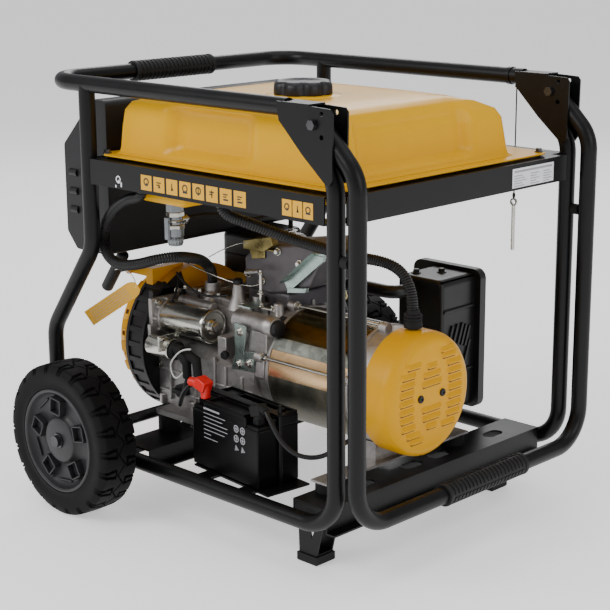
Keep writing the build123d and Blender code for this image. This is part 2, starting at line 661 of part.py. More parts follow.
def air_filter():
    """The filter box, with its lid seam and outlet to the carburettor."""
    case = box(*FILTER_X, 42, 172, 360, 434)
    case = fillet(case.edges().filter_by(Axis.Z), 20.0)
    case = fillet(case.edges().group_by(Axis.Z)[-1], 10.0)
    seam = box(FILTER_X[0] - 1, FILTER_X[1] + 1, 41, 173, 392, 395)
    core = box(FILTER_X[0] + 3, FILTER_X[1] - 3, 45, 169, 392, 395)
    core = fillet(core.edges().filter_by(Axis.Z), 18.0)
    return case - (seam - core)


MUFFLER = (56.0, 159.0, 157.0, 250.0, 137.0, 385.0)
MUFFLER_LID = (15.0, 172.0, 250.0, 266.0, 133.0, 392.0)
PORT = (108.0, 362.0)              # exhaust port, Y and Z


def muffler():
    """Pressed silencer box, its deeper lid on the far side, the exhaust elbow and the tail pipe."""
    x0, x1, y0, y1, z0, z1 = MUFFLER
    case = fillet(box(*MUFFLER).edges().filter_by(Axis.Y), 14.0)
    case = fillet(case.edges().group_by(Axis.Y)[0], 7.0)
    case += fillet(box(*MUFFLER_LID).edges().filter_by(Axis.Y), 18.0)
    case -= box(x0 + 3, x1 - 3, y0 + 3, y1 + 12, z0 + 3, z1 - 3)
    for z in (212.0, 328.0):
        case += rod_y(x1 - 1, y0 + 8, y1, z, 2.5)
    pipe = rod_x(x1 - 2, x1 + 18, y0 + 38, z0 + 28, 13.0) - rod_x(x1 - 3, x1 + 19, y0 + 38, z0 + 28, 10.0)
    elbow = [(CYL_X + 66.3, *PORT), (x0 + 36, *PORT), (x0 + 36, y0 + 2, PORT[1])]
    elbow = tube(elbow, [24.0], 12.0, 2.0)
    return case + pipe + elbow


def engine_fittings():
    """Spark plug with its cap, oil dipstick and drain plug."""
    plug = along_cylinder(Pos(CYL_X - 74, 0, 178) * Rot(0, 90, 0) * Cylinder(10.0, 15.0))
    plug += along_cylinder(Pos(CYL_X - 90, 0, 178) * Rot(0, 90, 0) * Cylinder(7.0, 20.0))
    dipstick = rod_y(-180, -165, -150.2, 185, 12.0) + box(-192, -168, -172, -165, 181, 189)
    drain = rod_y(-100, -158, -150.2, 166, 8.0)
    return [plug, dipstick, drain]


# ---------- alternator ----------
STATOR_X = (22.5, 209.0)
BELL_X = (209.2, 242.0)


def stator_cover():
    """The rolled sheet that wraps the stator, with the seam strip and tie bolts."""
    wrap = rod_x(*STATOR_X, CRANK_Y, CRANK_Z, 100.0) - rod_x(*STATOR_X, CRANK_Y, CRANK_Z, 98.2)
    for angle in (200.0, 340.0, 80.0, 140.0):
        y = CRANK_Y + 104.5 * math.cos(math.radians(angle))
        z = CRANK_Z + 104.5 * math.sin(math.radians(angle))
        wrap += rod_x(*STATOR_X, y, z, 3.5) + rod_x(STATOR_X[0], STATOR_X[0] + 8, y, z, 6.0)
        wrap += rod_x(STATOR_X[1] - 8, STATOR_X[1], y, z, 6.0)
    return wrap


def stator_core():
    core = rod_x(60, 170, CRANK_Y, CRANK_Z, 98.0) - rod_x(60, 170, CRANK_Y, CRANK_Z, 62.0)
    for i in range(24):
        slot = Pos(115, 0, 70) * Box(112, 6, 20)
        core -= Pos(0, CRANK_Y, CRANK_Z) * Rot(i * 15, 0, 0) * slot
    return core


def rotor():
    body = rod_x(62, 168, CRANK_Y, CRANK_Z, 61.0) + rod_x(40, 62, CRANK_Y, CRANK_Z, 40.0)
    for i in range(2):
        body -= Pos(0, CRANK_Y, CRANK_Z) * Rot(i * 180, 0, 0) * Pos(115, 0, 58) * Box(110, 40, 14)
    return body - rod_x(30, 200, CRANK_Y, CRANK_Z, SHAFT_R)


MOUNT_X = 233.0


def end_bell():
    """Cast end frame with the rear bearing, windows and a bolted foot."""
    bell = rod_x(*BELL_X, CRANK_Y, CRANK_Z, 100.0) - rod_x(*BELL_X, CRANK_Y, CRANK_Z, 92.0)
    bell += rod_x(BELL_X[0], BELL_X[0] + 22, CRANK_Y, CRANK_Z, 30.0)
    for i in range(4):
        bell += Pos(0, CRANK_Y, CRANK_Z) * Rot(i * 90 + 45, 0, 0) * Pos(BELL_X[0] + 8, 0, 62) * Box(16, 16, 70)
    bell -= rod_x(BELL_X[0] - 1, BELL_X[1] + 1, CRANK_Y, CRANK_Z, SHAFT_R + FIT)
    foot = box(212, 238, CRANK_Y - 62, CRANK_Y + 62, 139, 172)
    foot -= rod_x(200, 250, CRANK_Y, CRANK_Z, 95.0)
    return bell + foot + box(216, 250, -236, 124, 135, 139)


COVER_R = 105.0


def alternator_cover():
    """The round end cap with louvre slots and two screws."""
    cap = rod_x(243.0, 304.0, CRANK_Y, CRANK_Z, COVER_R)
    cap = fillet(cap.edges().group_by(Axis.X)[-1], 11.0)
    cap -= rod_x(242.0, 301.0, CRANK_Y, CRANK_Z, COVER_R - 2.5)
    for row in range(-4, 5):
        for column in (-1, 0, 1):
            y, z = CRANK_Y + column * 55.0, CRANK_Z + row * 15.0
            if column or abs(row) in (2, 3):
                reach = 22.0 if column == 0 else 17.0
                cap -= box(300, 305, y - reach, y + reach, z - 2, z + 2)
    for side in (-1, 1):
        cap += rod_x(303, 306, CRANK_Y + side * 27.5, CRANK_Z, 6.0)
    return cap


# ---------- rubber ----------
def rubber_mounts():
    """Engine mounts on the cross members and the bumpers under the folded handle."""
    pieces = [rod_z(-200, y, 112.2, 142.8, 20.0) for y in (-172.0, 80.0)]
    pieces += [rod_z(MOUNT_X, y, 118.2, 134.8, 20.0) for y in (-215.0, 102.0)]
    pieces += both_sides(rod_x(POST_X + TUBE_R + 0.2, HANDLE_X - TUBE_R - 0.4, -SIDE_Y, 520, 9.0))
    return pieces


# ---------- battery and wiring ----------
BATTERY = (34.0, -200.0)
BATTERY_TURN = -6.0
BATTERY_Z = (100.0, 220.0)


def at_battery(shape):
    return Pos(BATTERY[0], BATTERY[1], 0) * Rot(0, 0, BATTERY_TURN) * shape


def battery():
    """Sealed case with a raised lid rim, stepped corners and two terminals."""
    case = fillet(box(-90, 90, -50, 37, *BATTERY_Z).edges().filter_by(Axis.Z), 4.0)
    case -= box(-50, 84, -10, 31, BATTERY_Z[1] - 5, BATTERY_Z[1] + 1)
    for x in (-74.0, 74.0):
        case -= box(x - 17, x + 17, -51, -20, BATTERY_Z[1] - 18, BATTERY_Z[1] + 1)
        case += box(x - 7, x + 7, -41, -27, BATTERY_Z[1] - 19, BATTERY_Z[1] - 4)
    return at_battery(case)


def battery_tray():
    """A flat tray on two arms from the bottom rail, and the two hold-down rods with their bar."""
    tray = at_battery(box(-84, 118, -52, 37, 96.5, 99.5))
    arms = box(-20, 10, -275.8, -160, 92, 96.6) + box(80, 110, -275.8, -160, 92, 96.6)
    rods = at_battery(rod_z(94.5, -6, 98, 238, 3.0) + rod_z(-94.5, -6, 92.5, 238, 3.0))
    bar = at_battery(box(-100, 100, -14, 2, 221.0, 223.5))
    hook = at_battery(box(-98, -80, -10, -2, 92.5, 96.6))
    return tray + arms + rods + bar + hook


def battery_cables():
    """Both leads, from their terminals to the starter and to the engine block."""
    live = [(-42.9, -226.1, 216.2), (-43, -226, 238), (-68, -230, 240), (-100, -224, 214), (-124, -214, 180),
            (-140, -196, 184), (-136, -180, 226), (-140, -174, 262), (-162.8, -174, 264)]
    ground = [(104.2, -241.5, 216.2), (104.5, -242, 238), (128, -250, 238), (150, -254, 214), (172, -252, 188),
              (198, -244, 174), (222, -222, 172), (228, -190, 180), (228, -158, 188), (228, -125, 190)]
    return [cord("live lead", live, 4.0), cord("ground lead", ground, 4.0)]


def wiring_conduits():
    """Corrugated conduits: control box to engine, and alternator to control box."""
    loop = [(-138, -272, 570.8), (-138, -272, 556), (-182, -265, 548), (-230, -262, 521), (-259, -262, 482),
            (-258, -262, 446), (-222, -262, 425), (-170, -260, 434), (-128, -248, 449), (-112, -214, 450),
            (-124, -170, 438), (-150, -130, 424), (-172, -98, 408), (-178, -80, 390), (-178, -80, 372.3)]
    output = [(58, -272, 570.8), (58, -272, 554), (104, -254, 541), (148, -208, 516), (166, -152, 494),
              (184, -96, 474), (210, -52, 463), (240, -42, 448), (257, -42, 418), (263, -44, 388),
              (263, -44, 362.3)]
    return [cord("engine conduit", loop, 8.0), cord("output conduit", output, 8.0)]


# ---------- lock pin on its lanyard ----------
LANYARD = (198.0, SIDE_Y + 17.0)     # it hangs outside the rear rail
LANYARD_Z = (519.0, 716.0)
PIN_BOTTOM = 424.0


def lanyard_clip():
    """A band round the top rail, with the ear that the lanyard is tied to."""
    x = LANYARD[0]
    band = rod_x(x - 4, x + 4, SIDE_Y, RAIL_Z, TUBE_R + 1.5) - rod_x(x - 5, x + 5, SIDE_Y, RAIL_Z, TUBE_R)
    return band + box(x - 2, x + 2, SIDE_Y + TUBE_R + 0.5, LANYARD[1] + 2, LANYARD_Z[1], RAIL_Z)


def lanyard():
    """A limp cord, straight under the weight of the pin."""
    print(f"lanyard: length {LANYARD_Z[1] - LANYARD_Z[0]:.0f} mm, straight")
    return rod_z(*LANYARD, *LANYARD_Z, 1.2)


def lock_pin():
    """A straight pin with a flattened eye at its upper end."""
    x, y = LANYARD
    pin = rod_z(x, y, PIN_BOTTOM, 506.0, 3.6)
    pin = chamfer(pin.edges().group_by(Axis.Z)[0], 1.5)
    eye = rod_y(x, y - 1.6, y + 1.6, 512.0, 7.0) - rod_y(x, y - 2, y + 2, 512.0, 4.2)
    return pin + eye


NODES = {
    "front_side_frame": lambda: side_frame(-SIDE_Y),
    "rear_side_frame": lambda: side_frame(SIDE_Y),
    "top_rail": top_rail,
    "top_rail_grip": lambda: ribbed_grip(TOP_TUBE_X, -100.0, 90.0, RAIL_Z, 16),
    "cross_channels": cross_channels,
    "frame_brackets": frame_brackets,
    "foot_pads": lambda: both_sides(foot_pad(-FOOT_Y)),
    "pivot_brackets": lambda: both_sides(pivot_bracket(-SIDE_Y)),
    "front_apron": front_apron,
    "rear_apron": lambda: mirror(front_apron(), about=Plane.XZ),
    "end_aprons": lambda: [end_apron(330.5, -1), end_apron(-250.0, 1)],
    "wheel_axle": wheel_axle,
    "frame_fasteners": frame_fasteners,
    "handle_tube": handle_tube,
    "handle_grip": lambda: ribbed_grip(HANDLE_X, -85.0, 123.0, HANDLE_Z, 18),
    "front_tyre": lambda: tyre(-1),
    "rear_tyre": lambda: tyre(1),
    "front_rim": lambda: rim(-1),
    "rear_rim": lambda: rim(1),
    "fuel_tank": fuel_tank,
    "fuel_cap": fuel_cap,
    "fuel_valve": fuel_valve,
    "fuel_valve_lever": fuel_valve_lever,
    "fuel_hose": fuel_hose,
    "control_box": control_box,
    "control_panel": control_panel,
    "panel_fittings": lambda: outlet_sockets() + [breaker_housing(), key_barrel()],
    "outlet_lid_front": lambda: outlet_lid(SOCKETS_Y[0]),
    "outlet_lid_rear": lambda: outlet_lid(SOCKETS_Y[1]),
    "breaker_switch": breaker_switch,
    "ignition_key": ignition_key,
    "voltmeter": voltmeter,
    "earth_stud": earth_stud,
    "crankcase": crankcase,
    "cylinder": cylinder,
    "rocker_cover": rocker_cover,
    "piston": piston,
    "crankshaft": crankshaft,
    "flywheel": flywheel,
    "fan_housing": lambda: [fan_housing(), rope_guide()],
    "recoil_cover": recoil_cover,
    "recoil_handle": recoil_handle,
    "starter_motor": starter_motor,
    "carburettor": carburettor,
    "choke_lever": choke_lever,
    "air_filter": air_filter,
    "muffler": muffler,
    "engine_fittings": engine_fittings,
    "stator_cover": stator_cover,
    "stator_core": stator_core,
    "rotor": rotor,
    "end_bell": end_bell,
    "alternator_cover": alternator_cover,
    "rubber_mounts": rubber_mounts,
    "battery": battery,
    "battery_tray": battery_tray,
    "battery_cables": battery_cables,
    "wiring_conduits": wiring_conduits,
    "lanyard": lanyard,
    "lock_pin": lock_pin,
}

os.makedirs("parts", exist_ok=True)
for name, make in NODES.items():
    made = make()
    solids = Compound(children=made) if isinstance(made, list) else made
    export_step(solids, f"parts/{name}.step")
print(len(NODES), "nodes")
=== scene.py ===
import math

import bmesh
import bpy
from mathutils import Matrix, Vector


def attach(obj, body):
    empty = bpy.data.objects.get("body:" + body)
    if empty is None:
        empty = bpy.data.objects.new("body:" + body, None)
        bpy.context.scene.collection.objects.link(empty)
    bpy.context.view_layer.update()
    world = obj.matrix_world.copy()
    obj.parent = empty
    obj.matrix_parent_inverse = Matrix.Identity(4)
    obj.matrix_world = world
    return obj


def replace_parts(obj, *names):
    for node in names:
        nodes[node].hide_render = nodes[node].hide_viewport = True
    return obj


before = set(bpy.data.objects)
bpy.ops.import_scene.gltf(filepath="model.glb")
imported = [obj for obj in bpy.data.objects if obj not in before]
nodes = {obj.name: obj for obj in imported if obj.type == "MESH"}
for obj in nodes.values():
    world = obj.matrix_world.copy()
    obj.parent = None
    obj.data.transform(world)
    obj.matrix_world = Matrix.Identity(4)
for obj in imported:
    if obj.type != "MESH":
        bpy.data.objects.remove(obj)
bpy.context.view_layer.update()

MM = 0.001
CRANK = (-44.0, 253.0)          # crank axis, Y and Z, in millimetres
WHEEL = (-240.7, 134.0)         # axle, X and Z
CAP = (69.0, -98.0)             # fuel cap's axis, X and Y
VALVE = (-116.5, -219.0)        # fuel valve's axis, X and Y
STARTER = (-135.0, 310.0)       # starter motor's axis, Y and Z
SOLENOID = (-174.0, 264.0)      # solenoid's axis, Y and Z


def mm(x, y, z):
    """A place in millimetres of the CAD frame, as Blender's metres."""
    return Vector((x, y, z)) * MM


# ---------- materials ----------
def new_material(name):
    material = bpy.data.materials.new(name)
    material.use_nodes = True
    return material, material.node_tree.nodes, material.node_tree.links


def set_inputs(node, **values):
    """Sets a node's inputs by name, with _ for each space."""
    for name, value in values.items():
        node.inputs[name.replace("_", " ")].default_value = value
    return node


def add_node(tree, kind, **values):
    return set_inputs(tree.new("ShaderNode" + kind), **values)


def weighted_sum(tree, links, part, share, whole):
    """share x part + whole."""
    total = tree.new("ShaderNodeMath")
    total.operation = "MULTIPLY_ADD"
    total.inputs[1].default_value = share
    links.new(part, total.inputs[0])
    links.new(whole, total.inputs[2])
    return total.outputs["Value"]


def colour_ramp(tree, dark, light, first, last):
    ramp = tree.new("ShaderNodeValToRGB")
    for stop, place, colour in zip(ramp.color_ramp.elements, (first, last), (dark, light)):
        stop.position = place
        stop.color = (*colour, 1)
    return ramp


def surface(name, dark, light, metallic=0.0, rough=(0.4, 0.5), grain=60.0, bump=0.1, bump_scale=400.0,
            bump_distance=0.0004, coat=0.0, specular=0.5, blotch=6.0, stretch=(1, 1, 1)):
    """Two close colours mixed by a blotchy noise, with matching roughness and a fine bump."""
    material, tree, links = new_material(name)
    shader = tree["Principled BSDF"]
    place = add_node(tree, "TexCoord")
    scale = add_node(tree, "Mapping", Scale=stretch)
    links.new(place.outputs["Object"], scale.inputs["Vector"])
    wide = add_node(tree, "TexNoise", Scale=blotch, Detail=8.0, Roughness=0.65)
    fine = add_node(tree, "TexNoise", Scale=grain, Detail=4.0)
    relief = add_node(tree, "TexNoise", Scale=bump_scale, Detail=3.0)
    for texture in (wide, fine, relief):
        links.new(scale.outputs["Vector"], texture.inputs["Vector"])
    both = weighted_sum(tree, links, fine.outputs["Fac"], 0.35, wide.outputs["Fac"])
    ramp = colour_ramp(tree, dark, light, 0.38, 0.78)
    spread = add_node(tree, "MapRange", From_Min=0.35, From_Max=0.85, To_Min=rough[0], To_Max=rough[1])
    raised = add_node(tree, "Bump", Strength=bump, Distance=bump_distance)
    links.new(both, ramp.inputs["Fac"])
    links.new(both, spread.inputs["Value"])
    links.new(ramp.outputs["Color"], shader.inputs["Base Color"])
    links.new(spread.outputs["Result"], shader.inputs["Roughness"])
    links.new(relief.outputs["Fac"], raised.inputs["Height"])
    links.new(raised.outputs["Normal"], shader.inputs["Normal"])
    set_inputs(shader, Metallic=metallic, Coat_Weight=coat, Coat_Roughness=0.08, Specular_IOR_Level=specular)
    return material


def spangled(name, dark, light, rough):
    """Zinc sheet with large crystal patches."""
    material, tree, links = new_material(name)
    shader = tree["Principled BSDF"]
    place = add_node(tree, "TexCoord")
    cells = add_node(tree, "TexVoronoi", Scale=90.0, Randomness=1.0)
    clouds = add_node(tree, "TexNoise", Scale=14.0, Detail=6.0)
    for texture in (cells, clouds):
        links.new(place.outputs["Object"], texture.inputs["Vector"])
    grey = add_node(tree, "RGBToBW")
    links.new(cells.outputs["Color"], grey.inputs["Color"])
    both = weighted_sum(tree, links, grey.outputs["Val"], 0.28, clouds.outputs["Fac"])
    ramp = colour_ramp(tree, dark, light, 0.42, 0.85)
    spread = add_node(tree, "MapRange", To_Min=rough[0], To_Max=rough[1])
    links.new(both, ramp.inputs["Fac"])
    links.new(both, spread.inputs["Value"])
    links.new(ramp.outputs["Color"], shader.inputs["Base Color"])
    links.new(spread.outputs["Result"], shader.inputs["Roughness"])
    set_inputs(shader, Metallic=0.95)
    return material


M = {
    "powder": surface("powder_black", (0.002, 0.002, 0.0023), (0.004, 0.004, 0.0046), rough=(0.28, 0.40),
                      bump=0.22, bump_scale=900, bump_distance=0.0003, specular=0.25),
    "grip": surface("grip_rubber", (0.005, 0.005, 0.005), (0.010, 0.010, 0.010), rough=(0.5, 0.65),
                    bump=0.3, specular=0.35),
    "rubber": surface("mount_rubber", (0.005, 0.005, 0.005), (0.010, 0.010, 0.010), rough=(0.6, 0.8),
                      bump=0.2, specular=0.3),
    "tyre": surface("tyre_rubber", (0.002, 0.002, 0.002), (0.005, 0.005, 0.0055), rough=(0.5, 0.7),
                    specular=0.14, bump=0.25, bump_scale=700),
    "rim": surface("rim_grey", (0.016, 0.016, 0.017), (0.026, 0.026, 0.028), specular=0.35,
                   rough=(0.38, 0.5), bump=0.15, bump_scale=1200),
    # Painted shade: a darker copy of the rim grey for the floors of its pockets.
    "rim_recess_shade": surface("rim_recess_painted_shade", (0.012, 0.011, 0.014), (0.020, 0.019, 0.024), rough=(0.4, 0.55)),
    "yellow": surface("tank_yellow", (0.76, 0.385, 0.0), (0.80, 0.415, 0.0), rough=(0.24, 0.32), bump=0.05,
                      bump_scale=260, bump_distance=0.0003, coat=0.05, specular=0.18, grain=30, blotch=3),
    "cover": surface("cover_yellow", (0.70, 0.33, 0.0), (0.74, 0.36, 0.0), rough=(0.30, 0.40), bump=0.08,
                     bump_scale=500, specular=0.18),
    "cap": surface("cap_black", (0.006, 0.006, 0.008), (0.012, 0.012, 0.016), rough=(0.36, 0.5), bump=0.12,
                   specular=0.4),
    "plastic": surface("black_plastic", (0.005, 0.005, 0.006), (0.009, 0.009, 0.010), rough=(0.38, 0.52),
                       specular=0.35, bump=0.25, bump_scale=1100, bump_distance=0.0003),
    "panel": surface("panel_face", (0.020, 0.020, 0.022), (0.032, 0.032, 0.035), rough=(0.5, 0.6), bump=0.3,
                     bump_scale=1500),
    "blue": surface("socket_blue", (0.010, 0.035, 0.20), (0.016, 0.050, 0.27), rough=(0.3, 0.4), bump=0.05),
    "shroud": surface("shroud_grey", (0.085, 0.078, 0.085), (0.15, 0.14, 0.15), metallic=0.6,
                      rough=(0.4, 0.55), bump=0.2, blotch=12),
    # Painted shade: a darker olive copy of the stator sheet's zinc, for its top stretch.
    "stator_shade_top": surface("stator_zinc_shade_top", (0.055, 0.040, 0.015), (0.17, 0.12, 0.045), metallic=0.95,
                         rough=(0.12, 0.26), bump=0.05, blotch=9, stretch=(1, 1, 3)),
    # Painted shade: a darker teal copy of the stator sheet's zinc, for its low stretch.
    "stator_shade_low": surface("shaded_zinc", (0.045, 0.065, 0.06), (0.22, 0.20, 0.15), metallic=0.95,
                    rough=(0.3, 0.5), bump=0.1, blotch=14),
    "cast": surface("cast_aluminium", (0.20, 0.19, 0.185), (0.46, 0.44, 0.43), metallic=0.9,
                    rough=(0.34, 0.52), bump=0.5, bump_scale=520, bump_distance=0.0006, blotch=16, grain=140),
    "zinc": surface("zinc_plate", (0.36, 0.36, 0.32), (0.62, 0.61, 0.56), metallic=0.98, rough=(0.12, 0.24),
                    bump=0.03, blotch=7),
    "gold_zinc": surface("gold_zinc", (0.14, 0.11, 0.035), (0.40, 0.33, 0.13), metallic=0.95,
                         rough=(0.2, 0.35), bump=0.08, blotch=18),
    "green_zinc": surface("green_zinc", (0.18, 0.25, 0.235), (0.46, 0.55, 0.51), metallic=0.9,
                          rough=(0.2, 0.35), bump=0.06, blotch=10),
    "steel": surface("shaft_steel", (0.38, 0.38, 0.39), (0.55, 0.55, 0.56), metallic=1.0,
                     rough=(0.22, 0.35), bump=0.1),
    # Painted light: the bright copy of the stator sheet's zinc, for its near stretch.
    "wrap": surface("stator_zinc_painted_light", (0.60, 0.37, 0.18), (0.80, 0.54, 0.30), metallic=0.95, rough=(0.16, 0.30),
                    bump=0.05, blotch=9),
    "seam": spangled("seam_zinc", (0.06, 0.065, 0.055), (0.30, 0.31, 0.27), (0.22, 0.42)),
    "core": surface("lamination", (0.16, 0.12, 0.09), (0.28, 0.22, 0.17), metallic=0.6, rough=(0.5, 0.7),
                    bump=0.4, stretch=(30, 1, 1)),
    "heat": surface("heat_black", (0.004, 0.004, 0.004), (0.008, 0.008, 0.008), rough=(0.28, 0.42),
                    specular=0.4, bump=0.15, bump_scale=800),
    "battery": surface("battery_case", (0.0015, 0.0015, 0.0018), (0.003, 0.003, 0.0035), rough=(0.26, 0.38),
                       specular=0.2, bump=0.1, bump_scale=900),
    "red": surface("red_boot", (0.62, 0.010, 0.008), (0.78, 0.020, 0.014), rough=(0.35, 0.45), bump=0.1),
    "white": surface("white_sleeve", (0.66, 0.65, 0.62), (0.80, 0.79, 0.76), rough=(0.4, 0.5), bump=0.05),
    "label": surface("label_white", (0.72, 0.73, 0.76), (0.84, 0.85, 0.87), rough=(0.3, 0.4), bump=0.03,
                     blotch=20),
    "ink": surface("label_ink", (0.004, 0.004, 0.004), (0.012, 0.012, 0.012), rough=(0.4, 0.5), bump=0.02),
    "grey_ink": surface("label_grey", (0.28, 0.28, 0.30), (0.36, 0.36, 0.38), rough=(0.4, 0.5), bump=0.02),
    "sticker": surface("sticker_yellow", (0.72, 0.36, 0.0), (0.78, 0.40, 0.0), rough=(0.3, 0.4), bump=0.02),
    "dark_zinc": surface("dark_zinc", (0.045, 0.045, 0.048), (0.10, 0.10, 0.105), metallic=0.9,
                         rough=(0.25, 0.4), bump=0.05),
    "grey_zinc": surface("grey_zinc", (0.14, 0.15, 0.16), (0.24, 0.25, 0.26), metallic=0.9,
                         rough=(0.22, 0.36), bump=0.05),
    "sheath": surface("cable_sheath", (0.004, 0.004, 0.004), (0.009, 0.009, 0.009), rough=(0.35, 0.5),
                      bump=0.08, specular=0.35),
    "conduit": surface("conduit_black", (0.005, 0.005, 0.006), (0.010, 0.010, 0.011), rough=(0.32, 0.46),
                       bump=0.08, specular=0.4),
    "cord": surface("cord_black", (0.008, 0.008, 0.008), (0.02, 0.02, 0.02), rough=(0.7, 0.85), bump=0.5,
                    bump_scale=2500),
    "brass": surface("plated_brass", (0.48, 0.38, 0.20), (0.66, 0.54, 0.32), metallic=0.95,
                     rough=(0.2, 0.34)),
}

NODE_LOOKS = {
    "powder": ["front_side_frame", "rear_side_frame", "top_rail", "cross_channels", "frame_brackets",
               "pivot_brackets", "front_apron", "rear_apron", "end_aprons", "handle_tube", "battery_tray"],
    "grip": ["top_rail_grip", "handle_grip"],
    "rubber": ["foot_pads", "rubber_mounts", "fuel_hose"],
    "steel": ["crankshaft", "ignition_key"],
    "dark_zinc": ["frame_fasteners", "wheel_axle"],
    "grey_zinc": ["fuel_valve", "fuel_valve_lever"],
    "zinc": ["starter_motor", "choke_lever", "lock_pin"],
    "cap": ["fuel_cap"],
    "plastic": ["control_box", "recoil_handle", "air_filter", "engine_fittings", "breaker_switch"],
    "panel": ["control_panel"],
    "blue": ["panel_fittings", "outlet_lid_front", "outlet_lid_rear"],
    "label": ["voltmeter"],
    "brass": ["earth_stud"],
    "cast": ["crankcase", "cylinder", "piston", "flywheel", "carburettor", "end_bell"],
    "gold_zinc": ["rocker_cover"],
    "wrap": ["stator_cover"],
    "core": ["stator_core", "rotor"],
    "heat": ["muffler"],
    "battery": ["battery"],
    "cover": ["recoil_cover", "fan_housing", "alternator_cover"],
    "yellow": ["fuel_tank"],
    "tyre": ["front_tyre", "rear_tyre"],
    "rim": ["front_rim", "rear_rim"],
    "sheath": ["battery_cables"],
    "conduit": ["wiring_conduits"],
    "cord": ["lanyard"],
}


def paint_nodes():
    for look, names in NODE_LOOKS.items():
        for name in names:
            for slot in nodes[name].material_slots:
                slot.material = M[look]


# ---------- mesh building ----------
# Faces of a box whose corners are counted with z fastest, then y, then x.
BOX_FACES = [(0, 1, 3, 2), (4, 6, 7, 5), (0, 4, 5, 1), (2, 3, 7, 6), (0, 2, 6, 4), (1, 5, 7, 3)]


def bands(rings, size):
    """Faces that join each ring of points to the next one, all the way round."""
    return [(k * size + i, k * size + (i + 1) % size, (k + 1) * size + (i + 1) % size, (k + 1) * size + i)
            for k in range(rings - 1) for i in range(size)]


def caps(rings, size):
    """Faces that close the first ring and the last one."""
    return [tuple(reversed(range(size))), tuple((rings - 1) * size + i for i in range(size))]


class Shape:
    """Collects simple solids, in millimetres, and turns them into one object."""

    def __init__(self):
        self.mesh = bmesh.new()

    def add(self, points, faces):
        made = [self.mesh.verts.new(Vector(p) * MM) for p in points]
        for face in faces:
            self.mesh.faces.new([made[i] for i in face])

    def box(self, low, high, turn=None):
        points = [(x, y, z) for x in (low[0], high[0]) for y in (low[1], high[1]) for z in (low[2], high[2])]
        if turn is not None:
            middle = (Vector(low) + Vector(high)) / 2
            points = [tuple(middle + turn @ (Vector(p) - middle)) for p in points]
        self.add(points, BOX_FACES)

    def lathe(self, profile, origin, direction, segments=48, closed=True, lobes=0):
        """Turns (distance along, radius) pairs about a line. A third number makes scallops that deep."""
        along = Vector(direction).normalized()
        side = along.orthogonal().normalized()
        up = along.cross(side)
        start = Vector(origin)
        points = []
        for reach, radius, *dent in profile:
            for i in range(segments):
                a = 2 * math.pi * i / segments
                r = radius - (dent[0] * (0.5 + 0.5 * math.cos(lobes * a)) ** 2 if dent else 0.0)
                points.append(start + along * reach + (side * math.cos(a) + up * math.sin(a)) * r)
        ends = caps(len(profile), segments) if closed else []
        self.add(points, bands(len(profile), segments) + ends)

    def rod(self, start, end, radius, segments=24):
        line = Vector(end) - Vector(start)
        self.lathe([(0, radius), (line.length, radius)], start, line, segments)

    def plate(self, outline, normal, thickness):
        """A flat sheet of any outline: its points, and the direction that it is thick in."""
        lift = Vector(normal).normalized() * thickness
        points = [Vector(p) for p in outline] + [Vector(p) + lift for p in outline]
        self.add(points, bands(2, len(outline)) + caps(2, len(outline)))

    def bolt(self, seat, direction, across=10.0, head=5.0, washer=0.0):
        """A flanged hexagon head on its seat."""
        out = Vector(direction).normalized()
        base = Vector(seat)
        if washer:
            self.lathe([(0, washer), (1.4, washer), (1.8, washer - 0.5)], base, out, 28)
            base = base + out * 1.6
        radius = across / math.sqrt(3)
        self.lathe([(0, across * 0.62), (1.0, across * 0.62)], base, out, 24)
        self.lathe([(0.8, radius), (head - 0.8, radius), (head, radius * 0.86)], base, out, 6)

    def done(self, name, look, body="frame", slot=None, bevel=0.0, angle=35.0, segments=2):
        """Makes the object, in its look and on its body. Its slot is not used."""
        bmesh.ops.recalc_face_normals(self.mesh, faces=self.mesh.faces)
        sharp = math.radians(angle)
        for face in self.mesh.faces:
            face.smooth = True
        for edge in self.mesh.edges:
            edge.smooth = len(edge.link_faces) == 2 and edge.calc_face_angle(0.0) < sharp
        data = bpy.data.meshes.new(name)
        self.mesh.to_mesh(data)
        self.mesh.free()
        data.materials.append(M[look])
        piece = bpy.data.objects.new(name, data)
        bpy.context.collection.objects.link(piece)
        if bevel:
            rounding = piece.modifiers.new("rounded_edges", "BEVEL")
            rounding.width = bevel * MM
            rounding.segments = segments
            rounding.limit_method = "ANGLE"
            rounding.angle_limit = sharp
        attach(piece, body)
        return piece


def nurbs(name, route):
    """A curve that the route's points control."""
    curve = bpy.data.curves.new(name, "CURVE")
    curve.dimensions = "3D"
    spline = curve.splines.new("NURBS")
    spline.points.add(len(route) - 1)
    for point, place in zip(spline.points, route):
        point.co = (*place, 1)
    spline.order_u = 3
    spline.use_endpoint_u = True
    return curve


def smooth_line(route, step):
    """Evenly spaced points, in millimetres, on the smooth curve that the route controls."""
    curve = nurbs("route", route)
    curve.splines[0].resolution_u = 24
    holder = bpy.data.objects.new("route", curve)
    line = bpy.data.meshes.new_from_object(holder)
    dense = [v.co.copy() for v in line.vertices]
    bpy.data.objects.remove(holder)
    bpy.data.curves.remove(curve)
    bpy.data.meshes.remove(line)
    total = sum((b - a).length for a, b in zip(dense, dense[1:]))
    count = max(2, round(total / step))
    even, walked, index = [dense[0]], 0.0, 0
    for k in range(1, count):
        target = total * k / count
        while walked + (dense[index + 1] - dense[index]).length < target:
            walked += (dense[index + 1] - dense[index]).length
            index += 1
        part = (target - walked) / (dense[index + 1] - dense[index]).length
        even.append(dense[index].lerp(dense[index + 1], part))
    return even + [dense[-1]]


